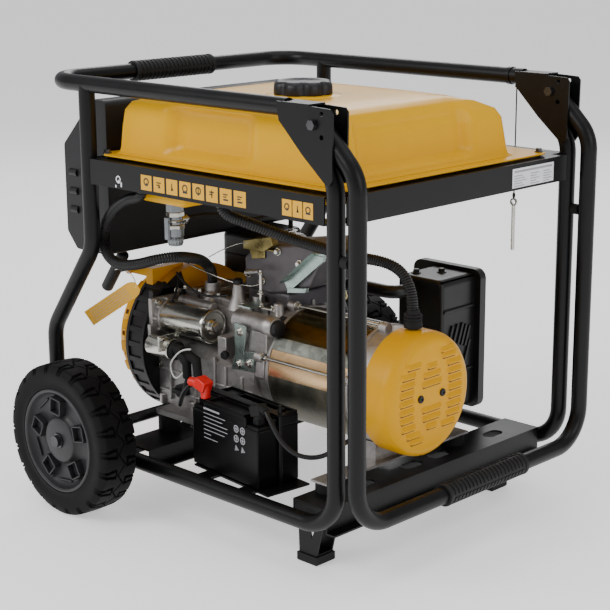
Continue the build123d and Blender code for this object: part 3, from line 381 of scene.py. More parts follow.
def hose(shape, route, radius, step=3.0, segments=16, ripple=0.0, pitch=3.4):
    """A round hose along a route; ripple makes it corrugated."""
    line = smooth_line(route, step if not ripple else pitch / 4)
    side = (line[1] - line[0]).orthogonal().normalized()
    points = []
    for k, place in enumerate(line):
        ahead = (line[min(k + 1, len(line) - 1)] - line[max(k - 1, 0)]).normalized()
        side = (side - ahead * side.dot(ahead)).normalized()
        up = ahead.cross(side)
        wide = radius
        if ripple:
            wide = radius - ripple * (0.0, 0.35, 1.0, 0.35)[k % 4]
        for i in range(segments):
            a = 2 * math.pi * i / segments
            points.append(place + (side * math.cos(a) + up * math.sin(a)) * wide)
    shape.add(points, bands(len(line), segments) + caps(len(line), segments))


def crank_place(x, radius, angle):
    """A place on a circle about the crank axis."""
    a = math.radians(angle)
    return (x, CRANK[0] + radius * math.cos(a), CRANK[1] + radius * math.sin(a))


# ---------- camera, light and floor ----------
def camera():
    data = bpy.data.cameras.new("camera")
    data.lens = 92.30
    data.sensor_width = 36.0
    item = bpy.data.objects.new("camera", data)
    azimuth, lift, roll = math.radians(44.2382), math.radians(14.1583), math.radians(-0.3033)
    back = Vector((math.sin(azimuth) * math.cos(lift), -math.cos(azimuth) * math.cos(lift), math.sin(lift)))
    right = Vector((math.cos(azimuth), math.sin(azimuth), 0.0))
    up = back.cross(right)
    turned_right = right * math.cos(roll) + up * math.sin(roll)
    turned_up = up * math.cos(roll) - right * math.sin(roll)
    rotation = Matrix((turned_right, turned_up, back)).transposed()
    item.matrix_world = Matrix.Translation((1.85107, -1.92625, 1.01865)) @ rotation.to_4x4()
    bpy.context.collection.objects.link(item)
    bpy.context.scene.camera = item


def area_light(name, place, target, size, power, colour=(1, 1, 1)):
    data = bpy.data.lights.new(name, "AREA")
    data.shape = "RECTANGLE"
    data.size, data.size_y = size
    data.energy = power
    data.color = colour
    item = bpy.data.objects.new(name, data)
    item.location = place
    item.rotation_euler = (Vector(target) - Vector(place)).to_track_quat("-Z", "Y").to_euler()
    bpy.context.collection.objects.link(item)


def studio():
    middle = (0, 0, 0.4)
    area_light("key", (-1.2, -3.4, 2.6), middle, (2.2, 1.6), 85)
    area_light("side", (3.6, -0.2, 2.0), middle, (1.8, 2.2), 30)
    area_light("top", (0.2, 0.2, 3.4), middle, (3.0, 3.0), 38)
    area_light("back", (-2.4, 2.8, 2.4), middle, (2.0, 1.6), 40)
    world = bpy.data.worlds.new("studio")
    world.use_nodes = True
    set_inputs(world.node_tree.nodes["Background"], Color=(0.97, 0.98, 1.0, 1), Strength=0.45)
    bpy.context.scene.world = world
    floor = bpy.data.meshes.new("floor")
    floor.from_pydata([(-30, -30, 0), (30, -30, 0), (30, 30, 0), (-30, 30, 0)], [], [(0, 1, 2, 3)])
    material, tree, _ = new_material("floor_white")
    set_inputs(tree["Principled BSDF"], Base_Color=(0.93, 0.93, 0.93, 1), Roughness=0.9,
               Emission_Color=(1, 1, 1, 1), Emission_Strength=0.6)
    floor.materials.append(material)
    item = bpy.data.objects.new("floor", floor)
    bpy.context.collection.objects.link(item)


# ---------- lanyard -----------------------
def lanyard():
    x, y, top, bottom = 198.0, 307.0, 716.0, 519.0
    route = [(x, y, top), (x, y, (top + bottom) / 2), (x, y, bottom)]
    curve = nurbs("lanyard_cord", [mm(*place) for place in route])
    curve.bevel_depth = 1.2 * MM
    curve.materials.append(M["cord"])
    cord = bpy.data.objects.new("lanyard_cord", curve)
    bpy.context.collection.objects.link(cord)
    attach(cord, "frame")
    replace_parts(cord, "lanyard")
    knot = Shape()
    knot.lathe([(-5, 1.4), (-3, 2.6), (0, 2.9), (3, 2.6), (5, 1.4)], (x, y, bottom + 5), (0, 0, 1), 16)
    knot = knot.done("lanyard_knot", "cord")


# ---------- fuel tank ----------
def ease(value, start, end):
    t = min(1.0, max(0.0, (value - start) / (end - start)))
    return t * t * (3 - 2 * t)


def pressing(side, x, y, z):
    """How far a place on a side of the tank is pressed in, along X and Y."""
    panel = ease(z, 628, 640) * (1 - ease(z, 694, 722))
    if side == "near":
        return 0.0, 17 * panel * ease(x, -98, -76) * (1 - ease(x, 88, 116))
    if side == "handle":
        return -17 * panel * ease(y, -206, -182) * (1 - ease(y, 56, 82)), 0.0
    if side == "far":
        return 0.0, -9 * panel * ease(x, -96, -66) * (1 - ease(x, 84, 118))
    return 0.0, 0.0


def fuel_tank():
    """A pressed shell lofted through rounded rectangles, with shallow pressings in three faces."""
    # For each side of the tank: how far each level is set in from the foot, and its height.
    base = {"near": -258.0, "far": 176.0, "wheel": -219.0, "handle": 289.0}
    inward = {
        "near": [(-7, 621.2), (0, 624), (2, 632), (5, 668), (8, 698), (13, 711), (24, 720), (48, 725),
                 (90, 727.5)],
        "far": [(-7, 621.2), (0, 624), (1, 632), (3, 655), (5, 676), (10, 686), (40, 704), (76, 721),
                (110, 727.5)],
        "wheel": [(-7, 621.2), (0, 624), (1, 632), (2, 664), (4, 686), (12, 697), (42, 712), (78, 722),
                  (120, 727.5)],
        "handle": [(-7, 621.2), (0, 624), (3, 632), (7, 664), (10, 688), (17, 702), (32, 716), (54, 724),
                   (96, 727.5)],
    }
    corner = [24, 16, 16, 18, 20, 24, 32, 44, 54]
    per_side, per_corner = 40, 12
    rings = []
    steps = 4
    count = len(corner)
    for level in range((count - 1) * steps + 1):
        at = level / steps
        low = min(int(at), count - 2)
        part = at - low

        def value(side):
            a, b = inward[side][low], inward[side][low + 1]
            return a[0] + (b[0] - a[0]) * part, a[1] + (b[1] - a[1]) * part

        radius = corner[low] + (corner[low + 1] - corner[low]) * part
        edge = {s: value(s) for s in inward}
        y0, y1 = base["near"] + edge["near"][0], base["far"] - edge["far"][0]
        x0, x1 = base["wheel"] + edge["wheel"][0], base["handle"] - edge["handle"][0]
        height = {s: edge[s][1] for s in edge}
        ring = []
        turns = [
            ("near", "handle", x1 - radius, y0 + radius, -90),
            ("handle", "far", x1 - radius, y1 - radius, 0),
            ("far", "wheel", x0 + radius, y1 - radius, 90),
            ("wheel", "near", x0 + radius, y0 + radius, 180),
        ]
        starts = {"near": (x0 + radius, y0, x1 - radius, y0), "handle": (x1, y0 + radius, x1, y1 - radius),
                  "far": (x1 - radius, y1, x0 + radius, y1), "wheel": (x0, y1 - radius, x0, y0 + radius)}
        for side, following, cx, cy, first in turns:
            ax, ay, bx, by = starts[side]
            for i in range(per_side):
                t = i / per_side
                x, y, z = ax + (bx - ax) * t, ay + (by - ay) * t, height[side]
                dx, dy = pressing(side, x, y, z)
                ring.append((x + dx, y + dy, z))
            for i in range(per_corner):
                a = math.radians(first + 90 * i / per_corner)
                t = ease(i, 0, per_corner)
                ring.append((cx + radius * math.cos(a), cy + radius * math.sin(a),
                             height[side] * (1 - t) + height[following] * t))
        rings.append(ring)
    size = len(rings[0])
    top = rings[-1]
    crown_rings = 5
    for shrink in range(1, crown_rings + 1):
        part = shrink / (crown_rings + 1)
        lift = 0.6 * math.sin(part * math.pi / 2)
        rings.append([(x + (40 - x) * part, y + (-40 - y) * part, z + lift) for x, y, z in top])
    points = [p for ring in rings for p in ring]
    mesh = Shape()
    mesh.add(points, bands(len(rings), size) + caps(len(rings), size)[1:])
    shell = mesh.done("tank_upper", "yellow", angle=50)
    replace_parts(shell, "fuel_tank")

    low = Shape()
    low.lathe([(0, 41), (3, 43), (6, 42), (7.5, 39.5)], (*CAP, 727), (0, 0, 1), 64)
    low.lathe([(0, 64), (1.5, 62), (3.0, 52), (3.4, 44)], (*CAP, 726.6), (0, 0, 1), 64)
    low.done("tank_neck", "yellow", angle=40)


def fuel_cap():
    """Moulded cap with eight finger scallops, a rolled rim and a dished top."""
    shape = Shape()
    shape.lathe([(7.4, 0.2), (7.4, 40.3), (0, 40.3), (0, 46.5, 1), (1.5, 48.8, 3), (6, 50, 5.5),
                 (16, 49.6, 5.5), (20, 48, 5), (22.8, 45, 3.4), (24.1, 41, 1.4), (23.4, 36.5), (21.4, 32.5),
                 (20.4, 27), (20.4, 12), (21.2, 9), (21.2, 0.2)], (*CAP, 727.6), (0, 0, 1), 192, lobes=8)
    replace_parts(shape.done("scalloped_cap", "cap", "tank_cap", angle=50), "fuel_cap")


# ---------- grips ----------
def grip(name, axis, reach, body, node):
    """A moulded sleeve with an end collar each side and broken ribs between them."""
    x, z = axis
    y0, length = reach[0], reach[1] - reach[0]

    def place(y, radius, angle):
        a = math.radians(angle)
        return (x + radius * math.cos(a), y, z + radius * math.sin(a))

    shape = Shape()
    shape.lathe([(0, 14.5), (0, 18.2), (1, 19), (7, 19), (8, 18.2), (8, 17.2), (length - 8, 17.2),
                 (length - 8, 18.2), (length - 7, 19), (length - 1, 19), (length, 18.2), (length, 14.5)],
                (x, y0, z), (0, 1, 0), 64)
    rows = round((length - 20) / 9.6)
    pitch = (length - 20) / rows
    for i in range(rows):
        y = y0 + 10 + pitch * i
        for quarter in range(4):
            arc(shape, y + 1.4, y + pitch - 1.8, 17.0, 18.7, 90 * quarter + 8, 90 * quarter + 82, 9.0, place)
    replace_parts(shape.done(name, "grip", body, bevel=0.5), node)


def tank_flange():
    """The seam flange, a plate with cut corners and rounded edges, and the shallow lower half with a block
    under it.
    """
    shape = Shape()
    x0, x1, y0, y1 = -243.0, 318.0, -282.0, 250.0
    cut = 20.0
    outline = [(x0 + cut, y0), (x1 - cut, y0), (x1, y0 + cut), (x1, y1 - cut), (x1 - cut, y1),
               (x0 + cut, y1), (x0, y1 - cut), (x0, y0 + cut)]
    shape.plate([(x, y, 618.2) for x, y in outline], (0, 0, 1), 2.6)
    shape.done("tank_flange", "yellow", bevel=0.8)
    lower = Shape()
    lower.box((-196, -247, 588), (280, 166, 618.2))
    lower.box((-173, -248, 543), (-60, -190, 590))
    lower.done("tank_lower", "yellow", bevel=9.0, segments=4)


# ---------- wheels ----------
TYRE_RADIUS = 134.0
TREAD_BLOCKS = 22


def tread_depth(angle, across):
    """0 on a block and 1 in a groove: lugs on both shoulders and a zigzag between them."""
    pitch = 360.0 / TREAD_BLOCKS
    side = 1.0 if across > 0 else -1.0
    phase = (angle / pitch + (0.5 if side > 0 else 0.0)) % 1.0
    reach = abs(across)
    zigzag = 7.0 * (abs(((angle / pitch) % 1.0) - 0.5) * 4 - 1)
    depth = max(0.0, 1 - abs(across - zigzag) / 1.5)
    for centre, lean in ((0.22, 0.10), (0.62, -0.12)):
        line = centre + lean * (reach - 8) / 26
        gap = min(abs(phase - line), 1 - abs(phase - line)) * math.radians(pitch) * TYRE_RADIUS
        if reach > 9:
            depth = max(depth, 1 - ease(gap, 1.4, 2.8))
    if 0.22 < phase < 0.62 and 9 <= reach < 12.5:
        depth = max(depth, 0.9)
    return min(1.0, depth)


def tyre(name, side, body, node):
    """Solid tyre with moulded tread lugs, shoulder notches and plain side walls."""
    middle = side * 357.5
    half = 37.5
    around, across = 528, 61
    points = []
    for i in range(around):
        angle = 360.0 * i / around
        ring = []
        for k in range(across):
            w = -1 + 2 * k / (across - 1)
            reach = abs(w)
            y = w * half
            crown = TYRE_RADIUS - 1.5 * w * w
            if reach > 0.80:
                t = (reach - 0.80) / 0.20
                crown -= 10.5 * t * t
            groove = tread_depth(angle, y)
            fade = 1.0 if reach < 0.9 else 1 - 0.35 * (reach - 0.9) / 0.1
            ring.append((y, crown - 5.5 * groove * fade))
        wall = [(half, 116), (half - 0.4, 110), (half - 1.8, 104), (half - 2.2, 98), (half - 1.2, 92.5),
                (half - 4, 91.6)]
        left = [(-y, r) for y, r in reversed(wall)]
        profile = left + ring + wall
        a = math.radians(angle)
        for y, r in profile:
            points.append((WHEEL[0] + r * math.sin(a), middle + y, WHEEL[1] + r * math.cos(a)))
    faces = bands(around + 1, len(points) // around)
    shape = Shape()
    shape.add(points, [tuple(i % len(points) for i in face) for face in faces])
    piece = shape.done(name, "tyre", body, angle=38)
    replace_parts(piece, node)


WINDOW = -5.0                    # angle of the first window from straight up, in degrees
WINDOW_LEAN = 12.0               # turn of each window about its own middle
SPOKES = 5


def rim(name, side, body, node):
    """Dished rim with a rolled lip, five framed pockets and a flat hub."""
    face = side * 395.0
    out = (0, side, 0)
    place = (WHEEL[0], face, WHEEL[1])
    shape = Shape()
    profile = [(-73, 88), (-73, 91.8), (-3, 91.8), (-1.2, 91), (-0.6, 88.5), (-2, 85.5), (-8, 83.5),
               (-13, 79), (-16, 72), (-17.5, 60), (-16.5, 48), (-12, 41), (-7.5, 38.5), (-6, 35), (-6, 13),
               (-8, 11.2), (-26, 11.2), (-26, 30), (-30, 60), (-30, 82), (-66, 85)]
    shape.lathe(profile, place, out, 96, closed=False)
    shape.lathe([(-83, 30), (-83, 11), (-26, 11), (-26, 30), (-83, 30)], place, out, 48, closed=False)
    # The pocket floors below are plates in a darker grey: painted shade in the recesses.
    dark = Shape()
    for i in range(SPOKES):
        a = math.radians(360 / SPOKES * i + WINDOW)
        turn = Matrix.Rotation(a + math.radians(WINDOW_LEAN), 3, "Y")
        out_from_axle = Matrix.Rotation(a, 3, "Y") @ Vector((0, 0, 60))
        centre = Vector((WHEEL[0], face - side * 11, WHEEL[1])) + out_from_axle
        floor = Vector((WHEEL[0], face - side * 16, WHEEL[1])) + out_from_axle
        dark.box(tuple(floor - Vector((12, 1.8, 12))), tuple(floor + Vector((12, 1.8, 12))), turn)
        for dx, dz, wx, wz in ((-13, 0, 2.6, 28.6), (13, 0, 2.6, 28.6), (0, -13, 28.6, 2.6),
                               (0, 13, 28.6, 2.6)):
            spot = centre + turn @ Vector((dx, 0, dz))
            half = Vector((wx / 2, 7, wz / 2))
            shape.box(tuple(spot - half), tuple(spot + half), turn)
        b = math.radians(360 / SPOKES * (i + 0.5) + WINDOW)
        rib = Vector((WHEEL[0], face - side * 15, WHEEL[1])) + Matrix.Rotation(b, 3, "Y") @ Vector((0, 0, 73))
        shape.box(tuple(rib - Vector((17, 3.5, 1.6))), tuple(rib + Vector((17, 3.5, 1.6))),
                  Matrix.Rotation(b, 3, "Y"))
    piece = shape.done(name, "rim", body, bevel=0.7)
    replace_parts(piece, node)
    dark.done(name + "_pocket_shade", "rim_recess_shade", body)


# ---------- alternator ----------
def louvres():
    """Centres and half widths, in millimetres from the middle of the cover."""
    spots = []
    for row in range(-4, 5):
        z = row * 14.5
        bow = 8.0 * (1 - (row / 4) ** 2) - (9.0 if abs(row) == 4 else 0.0)
        spots.append((-54.0 - bow, z - 1, 18.0))
        spots.append((52.0 + bow, z + 3, 18.0))
    spots += [(38.0, 71.0, 17.0), (-36.0, -70.0, 17.0)]
    spots += [(0.0, z, half) for z, half in ((21, 25), (36, 22), (50, 13), (-22, 25), (-37, 23), (-52, 14))]
    return spots


def alternator_cover():
    """Round cap with a ring of pressed louvres and two black screws."""
    front, back, radius = 304.0, 243.0, 105.0
    shape = Shape()
    shape.lathe([(0, radius - 1.5), (0, radius), (38, radius), (45, radius - 0.7), (51, radius - 3),
                 (56, radius - 7), (59.5, radius - 12.5), (61, radius - 19), (61, 0.2)],
                crank_place(back, 0, 0), (1, 0, 0), 128)
    for y, z, half in louvres():
        lip = [(front - 0.3, -2.4), (front + 4.0, -2.0), (front + 4.6, -0.2), (front - 0.3, 7.4)]
        points = []
        for end in (-1, 1):
            for k, (x, h) in enumerate(lip):
                squeeze = 4.0 if k in (1, 2) else 0.0
                points.append((x, CRANK[0] + y + end * (half - squeeze), CRANK[1] + z + h))
        shape.add(points, bands(2, 4) + caps(2, 4))
    piece = shape.done("alternator_cap", "cover", bevel=0.5, angle=30)
    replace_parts(piece, "alternator_cover")
    # Black strips in the gaps under the louvre lips: painted shade below each lip.
    louvre_shade = Shape()
    for y, z, half in louvres():
        louvre_shade.box((front - 1, CRANK[0] + y - half + 3, CRANK[1] + z - 4.9),
                 (front + 0.4, CRANK[0] + y + half - 3, CRANK[1] + z - 2.2))
    louvre_shade.done("alternator_cap_slot_shade", "plastic", slot="cover_yellow")
    screws = Shape()
    for y in (-27.5, 27.5):
        screws.lathe([(0, 6.5), (2.0, 6.5), (3.4, 5.0), (3.4, 2.4), (1.6, 2.2), (1.6, 0.1)],
                     (front, CRANK[0] + y, CRANK[1]), (1, 0, 0), 24)
    screws.done("alternator_cap_screws", "plastic")


def arc(shape, x0, x1, inner, outer, first, last, step=3.0, place=crank_place):
    """A curved bar about the crank axis, or the axis that place is for, between two angles."""
    count = max(2, round(abs(last - first) / step))
    points = []
    for i in range(count + 1):
        angle = first + (last - first) * i / count
        points += [place(x0, inner, angle), place(x0, outer, angle), place(x1, outer, angle),
                   place(x1, inner, angle)]
    shape.add(points, bands(count + 1, 4) + caps(count + 1, 4))


def stator_wrap():
    """The rolled sheet round the stator, as three copies of one zinc: painted light on the near stretch and
    painted shade on the top and low stretches; the lapped seam and the tie bolts.
    """
    x0, x1 = 22.5, 209.0
    sheet = Shape()
    # The near stretch is the bright copy of the zinc: painted light.
    arc(sheet, x0, x1, 98.2, 100.0, 152, 180, 1.5)
    piece = sheet.done("stator_sheet", "wrap", angle=20)
    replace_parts(piece, "stator_cover")
    top = Shape()
    # The top and low stretches are darker copies of the same zinc: painted shade.
    arc(top, x0, x1, 98.2, 100.0, -40, 152, 1.5)
    top.done("stator_sheet_top", "stator_shade_top", angle=20)
    low = Shape()
    arc(low, x0, x1, 98.2, 100.0, 180, 320, 1.5)
    low.done("stator_sheet_low", "stator_shade_low", angle=20)
    seam = Shape()
    arc(seam, x0 + 0.5, x1 - 0.5, 100.0, 101.6, 141, 154, 1.5)
    seam.done("stator_seam", "seam", bevel=0.5)
    bands = Shape()
    for x in (x0 - 1.0, x1 - 5.0):
        bands.lathe([(0, 97.5), (0, 102.2), (6, 102.2), (6, 97.5), (0, 97.5)], crank_place(x, 0, 0),
                    (1, 0, 0), 128, closed=False)
    bands.done("stator_rings", "cast", bevel=0.6)
    ties = Shape()
    for angle in (164, 100, 20, 278):
        start, end = crank_place(x0 - 6, 107, angle), crank_place(x1 + 8, 107, angle)
        ties.rod(start, end, 2.8, 16)
        ties.bolt(start, (1, 0, 0), 9.0, 8.0, 7.5)
        ties.bolt(end, (-1, 0, 0), 9.0, 8.0, 7.5)
    ties.done("stator_ties", "zinc", bevel=0.4)
    ears = Shape()
    for angle in (164, 100, 20, 278):
        for x in (x0 - 22, x1 + 2):
            ears.rod(crank_place(x, 104, angle), crank_place(x + 16, 104, angle), 9.5, 24)
    ears.done("stator_ears", "cast", bevel=1.2)


# ---------- engine ----------
def starter():
    """The starter's can with its end boss, and the cast nose that bolts it to the engine."""
    can = Shape()
    can.lathe([(0, 24), (0, 29.5), (106, 29.5), (107, 30.8), (113, 30.8), (114.5, 29.8), (114.5, 27),
               (113, 25.5), (113, 14), (114.5, 12.5), (121, 12.0), (121, 0.2)], (-232, *STARTER),
              (1, 0, 0), 72, closed=False)
    piece = can.done("starter_can", "zinc", bevel=0.5)
    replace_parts(piece, "starter_motor")
    boss = Shape()
    boss.box((-112, -140.5, 304.5), (-107.5, -129.5, 315.5), Matrix.Rotation(0.5, 3, "X"))
    for y, z in ((-158, 323), (-113, 297)):
        boss.bolt((-117.5, y, z), (1, 0, 0), 6.0, 3.0)
    boss.done("starter_can_boss", "steel", bevel=0.8)
    nose = Shape()
    nose.lathe([(0, 20), (0, 34), (7, 34), (10, 31), (17, 30), (19.5, 31.5), (22, 31.5), (22, 20)],
               (-252, *STARTER), (1, 0, 0), 48)
    nose.box((-250, -172, 268), (-241, -104, 346))
    nose.box((-246, -179, 255), (-238, -160, 300))
    for i in range(5):
        a = math.radians(100 + 40 * i)
        y, z = STARTER[0] + 32 * math.cos(a), STARTER[1] + 32 * math.sin(a)
        nose.rod((-246, y, z), (-232, y, z), 3.6, 12)
    nose.done("starter_nose", "cast", bevel=1.5)


def solenoid():
    """The solenoid under the starter, its boots and the white signal wire."""
    coil = Shape()
    coil.lathe([(0, 12), (0, 19), (55, 19), (56.5, 20), (60, 20), (60, 12)], (-238, *SOLENOID), (1, 0, 0), 48)
    coil.box((-196, -198, 262), (-192, -150, 290))
    for y, z in ((-193, 284), (-156, 284)):
        coil.bolt((-192, y, z), (1, 0, 0), 7.0, 5.0, 5.5)
    coil.done("solenoid_can", "zinc", bevel=0.6)
    end = Shape()
    end.lathe([(0, 17), (7, 17), (10, 15), (10, 8)], (-178, *SOLENOID), (1, 0, 0), 32)
    end.rod((-170, -180, 270), (-150, -180, 268), 8.5, 24)
    end.rod((-166, -180, 270), (-138, -181, 248), 8.5, 24)
    end.rod((-140, -181, 254), (-137, -182, 222), 8.0, 24)
    end.rod((-150, -172, 262), (-116, -178, 256), 9.0, 24)
    end.rod((-118, -178, 262), (-106, -184, 228), 8.0, 24)
    end.done("solenoid_boots", "rubber", slot="housing_plastic", bevel=1.5)
    loop = Shape()
    hose(loop, [(-122, -186, 278), (-140, -188, 276), (-165, -188, 256), (-177, -188, 238),
                (-164, -189, 216), (-148, -188, 224), (-139, -186, 238)], 1.6, 2.0, 10)
    loop.done("signal_wire", "white", angle=60)


def engine_castings():
    """Bosses, ribs and pads of the crankcase and its covers."""
    cast = Shape()
    cast.lathe([(0, 16), (0, 19), (70, 19), (74, 20), (86, 20), (90, 18), (94, 17)], (-66, -124, 331),
               (1, 0, 0), 48)
    cast.lathe([(0, 22), (8, 19), (22, 12), (46, 8.5)], (-103, -88, 336), (0, 0, 1), 32)
    cast.lathe([(0, 17), (6, 14), (20, 9)], (-172, -92, 337), (0, 0, 1), 28)
    cast.lathe([(0, 13), (4, 10), (24, 8.5)], (-6, -84, 338), (0, 0, 1), 24)
    cast.lathe([(0, 13), (4, 10), (18, 8.5)], (-220, -84, 338), (0, 0, 1), 24)
    cast.box((-24, -142, 286), (22, -100, 324))
    cast.box((-12, -147, 244), (20, -100, 284))
    cast.box((-96, -147, 262), (-74, -104, 300))
    for x, z0, z1 in ((-98, 160, 262), (-70, 160, 250), (-30, 158, 240), (-150, 160, 250), (-215, 160, 240)):
        cast.box((x - 2.5, -155, z0), (x + 2.5, -146, z1))
    for z in (176, 214):
        cast.box((-246, -154, z - 2), (-6, -148, z + 2))
    cast.box((-250, -96, 339), (-4, -88, 352))
    cast.box((-250, -2, 339), (-4, 6, 354))
    for x in (-232, -190, -140, -66, -28):
        cast.box((x - 2.5, -96, 338), (x + 2.5, 6, 350))
    for x in (-240, -160, -84, -14):
        for y in (-146, 28):
            cast.rod((x, y, 146), (x, y, 166), 10.0, 24)
    cast.rod((-228, -112, 336), (-140, -112, 336), 10.0, 24)
    cast.done("engine_castings", "cast", bevel=2.0, segments=3)


def cylinder_duct():
    """The sheet that leads air over the cylinder."""
    duct = Shape()
    duct.plate([(-116, -60, 372), (-116, -60, 424), (-88, -60, 446), (-60, -60, 452), (34, -60, 468),
                (52, -60, 462), (74, -60, 446), (44, -60, 392), (2, -60, 378), (-53, -60, 366)], (0, 1, 0),
               112)
    duct.box((-112, -56, 338), (-8, 46, 372))
    duct.done("cylinder_duct", "shroud", bevel=5.0, segments=3)


def governor_brackets():
    gold = Shape()
    gold.plate([(-101, -76, 443), (-101, -76, 458), (-78, -76, 464), (-33, -76, 474), (-28, -76, 459),
                (-50, -76, 445)], (0, 1, 0), 15)
    gold.plate([(-101, -64, 446), (-60, -64, 452), (-60, -64, 430), (-92, -64, 424)], (0, 1, 0), 2.5)
    gold.box((-60, -70, 446), (-34, -22, 449))
    gold.done("governor_bracket", "gold_zinc", bevel=1.0)
    silver = Shape()
    silver.plate([(-8, -68, 396), (2, -68, 380), (84, -68, 446), (86, -68, 460), (68, -68, 458)], (0, 1, 0),
                 6)
    silver.plate([(-8, -84, 396), (68, -84, 458), (68, -68, 458), (-8, -68, 396)], (0.6, 0, 0.8), 2.5)
    silver.plate([(0, -70, 379), (44, -70, 386), (46, -70, 394), (2, -70, 388)], (0, 1, 0), 8)
    silver.box((58, -70, 452), (86, -10, 455))
    silver.plate([(-46, -152, 334), (-18, -152, 331), (-24, -152, 284), (2, -152, 290), (-2, -152, 254),
                  (-56, -152, 250), (-46, -152, 276)], (0, 1, 0), 3)
    silver.box((-70, -120, 352), (-40, -78, 355))
    silver.done("silver_brackets", "green_zinc", bevel=1.0)


def engine_bolts():
    """Bolts on the duct, castings and brackets, the vent stem, and the governor's links."""
    bolts = Shape()
    for x, z in ((-104, 396), (-70, 388), (22, 432), (44, 440), (62, 450), (-30, 446)):
        bolts.bolt((x, -60.5, z), (0, -1, 0), 9.0, 5.5, 7.5)
    for x in (-240, -200, -150, -40, -12):
        bolts.bolt((x, -92, 352), (0, 0, 1), 8.0, 5.0, 6.5)
    for seat in ((-35, -152, 262), (-32, -152, 320), (-10, -152, 268)):
        bolts.bolt(seat, (0, -1, 0), 9.0, 5.5, 8.0)
    for seat in ((-241, -158, 338), (-241, -112, 352)):
        bolts.bolt(seat, (1, 0, 0), 8.0, 6.0, 6.5)
    # Each of these two bolts is laid twice in one place, and renders darker for it.
    for x, z in ((-244, 220), (-244, 220), (-8, 200), (-8, 200)):
        bolts.bolt((x, -152, z), (0, -1, 0), 8.0, 6.0)
    bolts.rod((-50, -84, 352), (-50, -84, 414), 2.8, 16)
    bolts.bolt((-50, -84, 406), (0, 0, 1), 8.0, 5.0)
    bolts.bolt((-50, -84, 372), (0, 0, 1), 8.0, 5.0, 7)
    hose(bolts, [(-103, -88, 380), (-86, -92, 384), (-66, -88, 382), (-50, -84, 390)], 1.5, 2.0, 10)
    hose(bolts, [(-232, -96, 402), (-200, -100, 398), (-150, -98, 390), (-120, -92, 384), (-104, -88, 382)],
         1.4, 2.0, 10)
    hose(bolts, [(-160, -104, 424), (-120, -84, 452), (-90, -76, 456)], 1.0, 2.0, 8)
    bolts.done("engine_bolts", "zinc", bevel=0.4)


def engine_dark_parts():
    """Rubber plugs, a clip and the two thin black wires."""
    dark = Shape()
    dark.lathe([(0, 14.5), (5, 15.5), (9, 13.5), (10.5, 8)], (28, -124, 331), (1, 0, 0), 32)
    arc(dark, 10, 22, 100.5, 104, 118, 132)
    dark.lathe([(0, 7), (3, 8.5), (9, 8.5), (12, 5)], (-103, -88, 380), (0, 0, 1), 20)
    dark.lathe([(0, 7), (6, 8.5), (10, 7), (10, 3)], (-68, -150, 272), (0, -1, 0), 6)
    hose(dark, [(-230, -120, 388), (-200, -128, 372), (-170, -124, 360), (-140, -116, 356),
                (-112, -104, 362)], 2.2, 2.0, 10)
    hose(dark, [(-236, -110, 380), (-214, -132, 352), (-222, -150, 330)], 2.2, 2.0, 10)
    dark.done("engine_dark_parts", "plastic", bevel=0.5)


def governor_spring():
    spring = Shape()
    turns, per_turn, length = 11, 12, 34.0
    coil = []
    for i in range(turns * per_turn + 1):
        a = 2 * math.pi * i / per_turn
        along = length * i / (turns * per_turn)
        coil.append((-88 + along, -84 + 4 * math.cos(a), 404 + 4 * math.sin(a) + along * 0.2))
    hose(spring, coil, 0.8, 1.2, 8)
    spring.done("governor_spring", "steel", slot="shaft_steel", angle=60)


def valve_details():
    """Nuts, a seal ring and the ribbed settling bowl of the fuel valve."""
    x, y = VALVE
    nuts = Shape()
    nuts.lathe([(0, 14.6), (1, 15.8), (8, 15.8), (9, 14.6)], (x, y, 519), (0, 0, 1), 6)
    nuts.lathe([(0, 15.2), (1.2, 16.6), (7, 16.6), (8.2, 15.2)], (x, y, 498), (0, 0, 1), 6)
    nuts.lathe([(0, 12.6), (3, 14.0), (4.5, 12.6)], (x, y, 510), (0, 0, 1), 32)
    nuts.lathe([(0, 6.5), (9, 6.5), (10, 8.2), (13, 8.2), (14, 5.5)], (x, y + 11, 512), (0, 1, 0), 24)
    nuts.done("valve_nuts", "zinc", bevel=0.4)
    bowl = Shape()
    bowl.lathe([(0, 8.0), (1.5, 11.5, 1.2), (4, 13.4, 1.2), (14, 13.8, 1.2), (15.5, 12.4)], (x, y, 469.5),
               (0, 0, 1), 120, lobes=15)
    bowl.done("valve_bowl", "grey_zinc", angle=60)


def muffler_details():
    """Slanted vents, stiffening ridges, rivets and the lid's louvres on the silencer box."""
    shape = Shape()
    side, back = 159.6, 266.0
    for y, z in ((187, 299), (201, 300), (215, 300), (225, 296), (235, 292), (236, 266)):
        shape.plate([(side - 0.5, y - 2.6, z), (side - 0.5, y + 2.6, z), (side - 0.5, y - 10.4, z - 36),
                     (side - 0.5, y - 15.6, z - 36)], (1, 0, 0), 3.4)
    for z in (212, 328):
        shape.rod((side - 0.6, 162, z), (side - 0.6, 246, z), 3.6, 16)
    for z in (236, 262, 288, 314):
        shape.plate([(36, back - 0.5, z), (150, back - 0.5, z), (146, back + 3.6, z - 2),
                     (40, back + 3.6, z - 2)], (0, 0, 1), 6)
    for x in (50, 93.5, 137):
        shape.rod((x, back - 0.8, 150), (x, back - 0.8, 214), 3.4, 16)
    for x in (25, 162):
        for z in (146, 262, 379):
            shape.lathe([(0, 6), (1.6, 5.6), (3, 3.6), (3.4, 0.2)], (x, back, z), (0, 1, 0), 24)
    shape.bolt((110, 215, 385), (0, 0, 1), 10.0, 6.0, 9.0)
    shape.bolt((80, 180, 385), (0, 0, 1), 10.0, 6.0, 9.0)
    shape.done("muffler_details", "heat", bevel=0.8)


